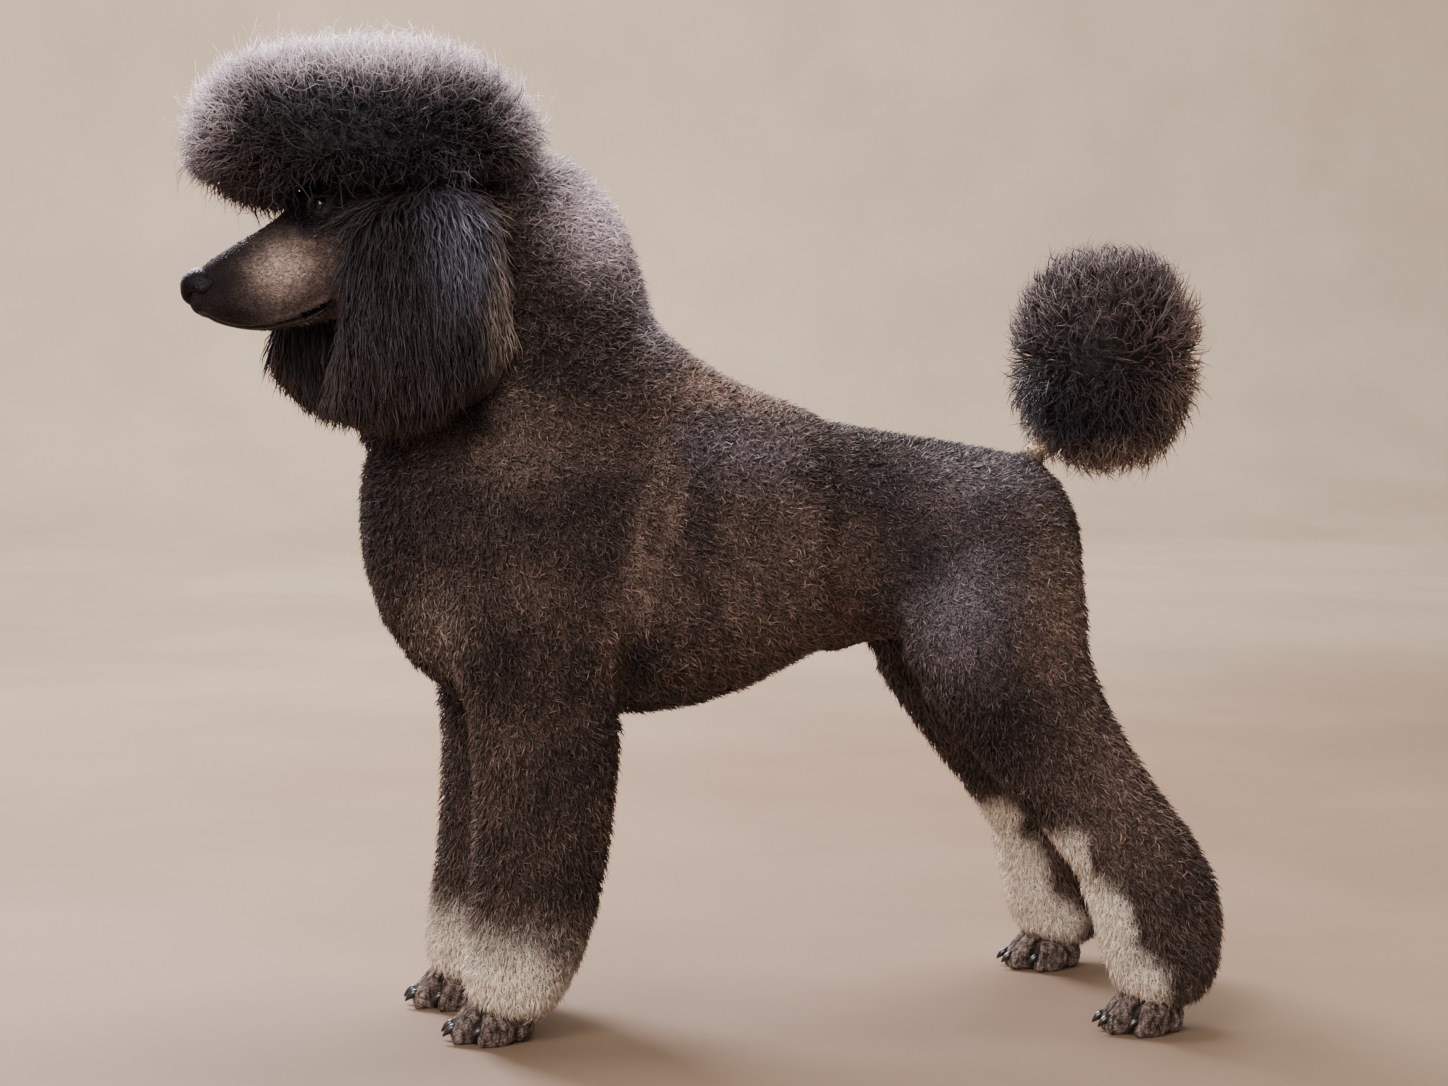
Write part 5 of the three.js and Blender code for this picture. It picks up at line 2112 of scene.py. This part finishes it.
@dataclass
class Coat:
    """All the hair, piece by piece.

    Spacings, depths and places are in millimetres. The hair of the balls is trimmed over
    the eyes, leans outward from its heart, and stands up or falls. An ear's hair is
    shortened over its hem, to the shortest share of its length at the most.
    """

    skin: Skin
    materials: dict[Slot, Material]
    seed: int = 7
    face_seed: int = 61
    ear_seed: int = 40
    spacing: Triple = (4.3, 5.1, 3.7)
    cuff_top: float = 140.0
    clipped_length: float = 0.4
    trim_at: float = -374.0
    trim_reach: float = 24.0
    trim_below: float = 783.0
    outward: float = 0.3
    stand: float = 0.6
    fall: float = 0.9
    ear_spacing: tuple[float, float] = (4.3, 7.0)
    far_ear_spacing: float = 1.35
    hem: float = 64.0
    shortest: float = 0.12
    ear_depth: float = 8.0
    ear_core_depth: float = 7.0
    face_spacing: float = 2.35
    temple_spacing: float = 3.5
    face_root: float = 0.5

    def wear(self, obj: Object, slot: Slot, nodes: Sequence[str] = ()) -> None:
        """Dresses one piece of the coat."""
        dress(obj, self.materials[slot], nodes)

    def body(self) -> None:
        """Neck, trunk and legs: a fill, finer hair over it, and soft cuffs."""
        surface = Surface.of(self.skin.form)
        rng = np.random.default_rng(self.seed)
        tufts: dict[str, list[Tufts]] = {}
        for layer, spacing in zip(("under", "over", "cuff"), self.spacing):
            tip, way = surface.scatter(spacing * MM, rng)
            if layer == "cuff":
                low = drawn(tip)[:, 2] < self.cuff_top
                tip, way = tip[low], way[low]
            point = drawn(tip)
            depth, lie = coat_depth(point), body_lie(point)
            length = np.where(depth < CLIPPED_BELOW, self.clipped_length, 1.0)
            for area in self.areas(point):
                own = area.where
                if own.any():
                    strand = CUFF_COAT if layer == "cuff" else getattr(area.coat, layer)
                    grown = grow(tip[own], way[own], lie[own], depth[own] * MM, strand,
                                 area.unwrap, rng, length[own])
                    tufts.setdefault(area.name, []).append(grown)
        for name, layers in tufts.items():
            slot = Slot.LEG if "leg" in name else Slot.BODY
            self.wear(Tufts.joined(layers).mesh(name), slot)

    def areas(self, point: Array) -> list[Area]:
        """Which piece of the body's coat each point belongs to.

        Args:
            point: Points of the drawing.

        Returns:
            The pieces.
        """
        x, y, z = point.T
        neck = (z > 560 - 0.35 * (x + 200)) & (x < 60)
        fore = (x < -60) & (z < 290) & ~neck
        hind = (x > 120) & (z < 357 - 0.29 * (170 - x)) & ~neck
        in_head = (x < -240) & (z > 700) & (np.abs(y) < 60)
        shown = ~(in_head | ((z > 800) & (x < -190)))
        trunk = ~(neck | fore | hind) & shown
        chest = Unwrap(Axis.X, ((-345, 0, 455), (5, 0, 455)))
        loin = Unwrap(Axis.X, ((5, 0, 455), (345, 0, 445)))
        mane = Unwrap(Axis.Z, ((-200, 0, 480), (-200, 0, 830)))
        areas = [
            Area("coat_chest", trunk & (x < 5), SHORT_COAT, chest),
            Area("coat_loin", trunk & (x >= 5), SHORT_COAT, loin),
            Area("coat_mane", neck & shown, MANE_COAT, mane),
        ]
        for side, name in SIDES.items():
            far = side == RIGHT
            here = (y * side > 0) & shown
            knee, hock, foot = (278, 358, 372) if far else (285, 375, 392)
            elbow, pastern = (-205, -231) if far else (-185, -205)
            foreleg = Unwrap(Axis.Z, ((pastern, side * 70, 15), (elbow, side * 78, 300)))
            hindleg = Unwrap(Axis.Z, ((foot, side * 134, 20), (hock, side * 126, 150),
                                      (knee, side * 101, 270), (240, side * 80, 400)))
            areas.append(Area(f"coat_foreleg_{name}", fore & here, LEG_COAT, foreleg))
            areas.append(Area(f"coat_hindleg_{name}", hind & here, LEG_COAT, hindleg))
        return areas

    def ball(self, ball: Ball) -> None:
        """The curls of a rounded mass, and its core.

        Args:
            ball: What the mass is like.
        """
        rng = np.random.default_rng(ball.seed)
        shape = ball.form.build(f"{ball.hair}_form", 96, 80)
        surface = Surface.of(shape)
        unwrap = BallUnwrap(ball.heart)
        suffixes = ("",) if ball.split is None else ("_front", "_back")
        tufts: dict[str, list[Tufts]] = {suffix: [] for suffix in suffixes}
        for gap, strand in zip(ball.spacing, (ball.coat.under, ball.coat.over)):
            tip, way = surface.scatter(gap * MM, rng)
            point = drawn(tip)
            # The hair is trimmed away over the eyes
            near_eye = np.abs(point[:, 0] - self.trim_at) < self.trim_reach
            seen = ~(near_eye & (point[:, 2] < self.trim_below))
            tip, way, point = tip[seen], way[seen], point[seen]
            out = unit(point - np.array(ball.heart))
            way = unit(way * (1 - self.outward) + out * self.outward)
            # It stands up on top and falls towards the rim below
            rise = np.where(out[:, 2] > 0, self.stand, -self.fall)
            lie = out + np.array([0.0, 0.0, 1.0]) * rise[:, None]
            for suffix in suffixes:
                where = np.ones(len(tip), bool)
                if ball.split is not None:
                    where = (point[:, 0] < ball.split) == (suffix == "_front")
                depth = np.full(where.sum(), ball.depth * MM)
                grown = grow(tip[where], way[where], lie[where], depth, strand, unwrap, rng)
                tufts[suffix].append(grown)
        for suffix, layers in tufts.items():
            self.wear(Tufts.joined(layers).mesh(ball.hair + suffix), Slot.CROWN)
        self.core(shape, ball.undercoat, ball.core_depth, unwrap)
        self.wear(shape, Slot.CROWN, (ball.node,))

    def core(
        self, shape: Object, name: str, depth: float, unwrap: BallUnwrap | Unwrap
    ) -> None:
        """Makes a form the dense undercoat inside its mass of hair.

        Args:
            shape: The outer form, changed in place.
            name: Name of the piece.
            depth: How far under the form it lies, in millimetres.
            unwrap: Its flat map.
        """
        stand_out(shape, -depth)
        shape.name = name
        shape.data.name = name
        relax(shape, 4)
        set_map(shape, unwrap.lay(drawn(vertices(shape))))
        # The core reads as hair near its roots, so it takes the strands' painted root shade
        for key, value in (("strand_along", 0.12), ("strand_shade", 0.3)):
            set_numbers(shape, key, np.full(len(shape.data.vertices), value))
        shade_smooth(shape)

    def ears(self) -> None:
        """The long, wavy hair of both ears."""
        for side, name in SIDES.items():
            rng = np.random.default_rng(self.ear_seed + side)
            shape = ear_form(side).build(f"ear_{name}_form", 72, 72)
            surface = Surface.of(shape)
            line = ((-300, side * 105, 550), (-300, side * 105, 700), (-265, side * 70, 792))
            unwrap = Unwrap(Axis.Z, line, squash=3.0)
            thinner = 1.0 if side == LEFT else self.far_ear_spacing
            tufts = []
            for spacing, strand in zip(self.ear_spacing, (EAR_COAT.under, EAR_COAT.over)):
                tip, way = surface.scatter(spacing * thinner * MM, rng)
                keep = drawn(tip)[:, 2] < EAR_TOP
                tip, way = tip[keep], way[keep]
                x, _, z = drawn(tip).T
                room = (z - np.interp(x, *zip(*EAR_HEM[side]))) / self.hem
                left = np.clip(room, self.shortest, 1.0)
                lie = np.tile([0.04, 0.0, -1.0], (len(tip), 1))
                depth = np.full(len(tip), self.ear_depth * MM)
                tufts.append(grow(tip, way, lie, depth, strand, unwrap, rng, left))
            self.wear(Tufts.joined(tufts).mesh(f"ear_hair_{name}"), Slot.EAR)
            self.core(shape, f"ear_undercoat_{name}", self.ear_core_depth, unwrap)
            self.wear(shape, Slot.EAR, (f"ear_{name}",))

    def face(self) -> None:
        """Very short hair on the muzzle and cheeks, longer on the temples and skull."""
        rng = np.random.default_rng(self.face_seed)
        unwrap = Unwrap(Axis.X, ((-492, 0, 690), (-400, 0, 712), (-246, 0, 755)))
        for name, spacing, strand in (
            ("face_hair", self.face_spacing, FACE_HAIR),
            ("temple_hair", self.temple_spacing, TEMPLE_HAIR),
        ):
            tip, way = self.skin.head_surface.scatter(spacing * MM, rng)
            point = drawn(tip)
            x, _, z = point.T
            eye = np.linalg.norm(folded(point) - eye_centre(RIGHT), axis=1)
            temple = (x > -400) & (x < -240) & (eye > 14.5) & (z > 690)
            temple &= (z > 752 - 0.9 * (x + 400) * (x > -400)) | (x > -352)
            if strand is FACE_HAIR:
                where = (x < -335) & (x > -478) & (eye > 12.5) & ~temple
                where &= np.abs(z - mouth_height(x)) > 3
                reach = 0.5 + 0.5 * smooth(-462, -430, x[where])
            else:
                where = temple
                reach = 0.25 + 0.75 * smooth(14, 40, eye[where])
            lie = np.tile([0.95, 0.0, -0.25], (where.sum(), 1))
            depth = np.full(where.sum(), self.face_root * MM)
            tufts = grow(tip[where], way[where], lie, depth, strand, unwrap, rng, reach)
            self.wear(tufts.mesh(name), Slot.FACE)

    def build(self) -> None:
        """Every piece of hair."""
        self.body()
        for ball in BALLS:
            self.ball(ball)
        self.ears()
        self.face()


@dataclass(frozen=True)
class Lamp:
    """One square soft light: its place, side and target in metres, and its watts."""

    name: str
    place: Triple
    size: float
    power: float
    colour: Triple
    target: Triple = (0.0, 0.0, 0.5)

    def build(self) -> None:
        """The light in the scene."""
        data = bpy.data.lights.new(self.name, "AREA")
        data.size, data.energy, data.color = self.size, self.power, self.colour
        lamp = linked(self.name, data)
        lamp.location = self.place
        look(lamp, Vector(self.target) - Vector(self.place))


def look(obj: Object, way: Vector) -> None:
    """Turns a light or camera to face a way, upright."""
    obj.rotation_mode = "QUATERNION"
    obj.rotation_quaternion = way.to_track_quat("-Z", "Y")


LAMPS = (
    Lamp("key", (-1.8, -2.4, 2.6), 1.5, 95, (1.0, 0.95, 0.91)),
    Lamp("top", (0.0, 0.5, 2.8), 1.4, 105, (1.0, 0.96, 0.96)),
    Lamp("rim", (-1.0, 2.0, 2.1), 0.9, 165, (0.98, 0.92, 1.0), (-0.2, 0, 0.75)),
    Lamp("fill", (-1.3, -3.8, 1.7), 1.6, 62, (1.0, 0.94, 0.88), (0, 0, 0.1)),
    Lamp("wall", (0.0, 2.6, 4.0), 3.2, 240, (1.0, 0.96, 0.92), (0.0, 5.8, 0.3)),
)


@dataclass(frozen=True)
class Studio:
    """Floor, backdrop, lights and camera; sizes of the room are in metres."""

    width: float = 18.0
    run: float = 18.0
    flat: float = 11.0
    bend: float = 1.5
    front: float = -5.6
    air: Colour = (0.95, 0.88, 0.82, 1)
    air_strength: float = 0.5
    photo_width: float = 1448.0
    focal_pixels: float = 2903.0
    sensor: float = 36.0
    distance: float = 2712.0
    height: float = 680.0
    azimuth: float = 9.5
    pitch: float = 4.8

    def floor(self) -> None:
        """A pale floor that runs up into a wall."""
        floor = primitive("grid", "floor", x_subdivisions=4, y_subdivisions=48, size=1)
        co = vertices(floor)
        run = (co[:, 1] + 0.5) * self.run
        angle = np.clip((run - self.flat) / self.bend, 0, math.pi / 2)
        rise = np.maximum(run - self.flat - self.bend * math.pi / 2, 0)
        y = self.front + np.minimum(run, self.flat) + self.bend * np.sin(angle)
        z = self.bend * (1 - np.cos(angle)) + rise
        set_vertices(floor, np.stack([co[:, 0] * self.width, y, z], axis=1))
        shade_smooth(floor)
        floor.data.materials.append(PlasterFinish().make())

    def lights(self) -> None:
        """Soft light from the front above, a cool one from behind, a fill, and air."""
        for lamp in LAMPS:
            lamp.build()
        world = bpy.data.worlds.new("studio_air")
        world.use_nodes = True
        background = world.node_tree.nodes["Background"]
        background.inputs["Color"].default_value = self.air
        background.inputs["Strength"].default_value = self.air_strength
        bpy.context.scene.world = world

    def camera(self) -> None:
        """The camera at the photograph's view."""
        data = bpy.data.cameras.new("camera")
        data.sensor_width = self.sensor
        data.lens = self.focal_pixels / self.photo_width * self.sensor
        camera = linked("camera", data)
        turn, pitch = math.radians(self.azimuth), math.radians(self.pitch)
        ahead = (math.sin(turn), math.cos(turn))
        camera.location = placed([-self.distance * ahead[0], -self.distance * ahead[1],
                                  self.height])
        look(camera, Vector((ahead[0] * math.cos(pitch), ahead[1] * math.cos(pitch),
                             -math.sin(pitch))))
        bpy.context.scene.camera = camera

    def build(self) -> None:
        """Everything round the dog."""
        self.floor()
        self.lights()
        self.camera()


def main() -> None:
    """Builds the dog and its studio."""
    logging.basicConfig(level=logging.INFO, format="%(message)s")
    deselect()
    effects = Effects(markings_and_light_group(), strand_group(), face_group())
    skin = Skin()
    skin.build(effects)
    Coat(skin, {slot: finish.make(effects) for slot, finish in COATS.items()}).build()
    remove(skin.form)
    Eyes().build()
    Nose().build()
    Claws().build()
    Studio().build()
    deselect()


if __name__ == "__main__":
    main()
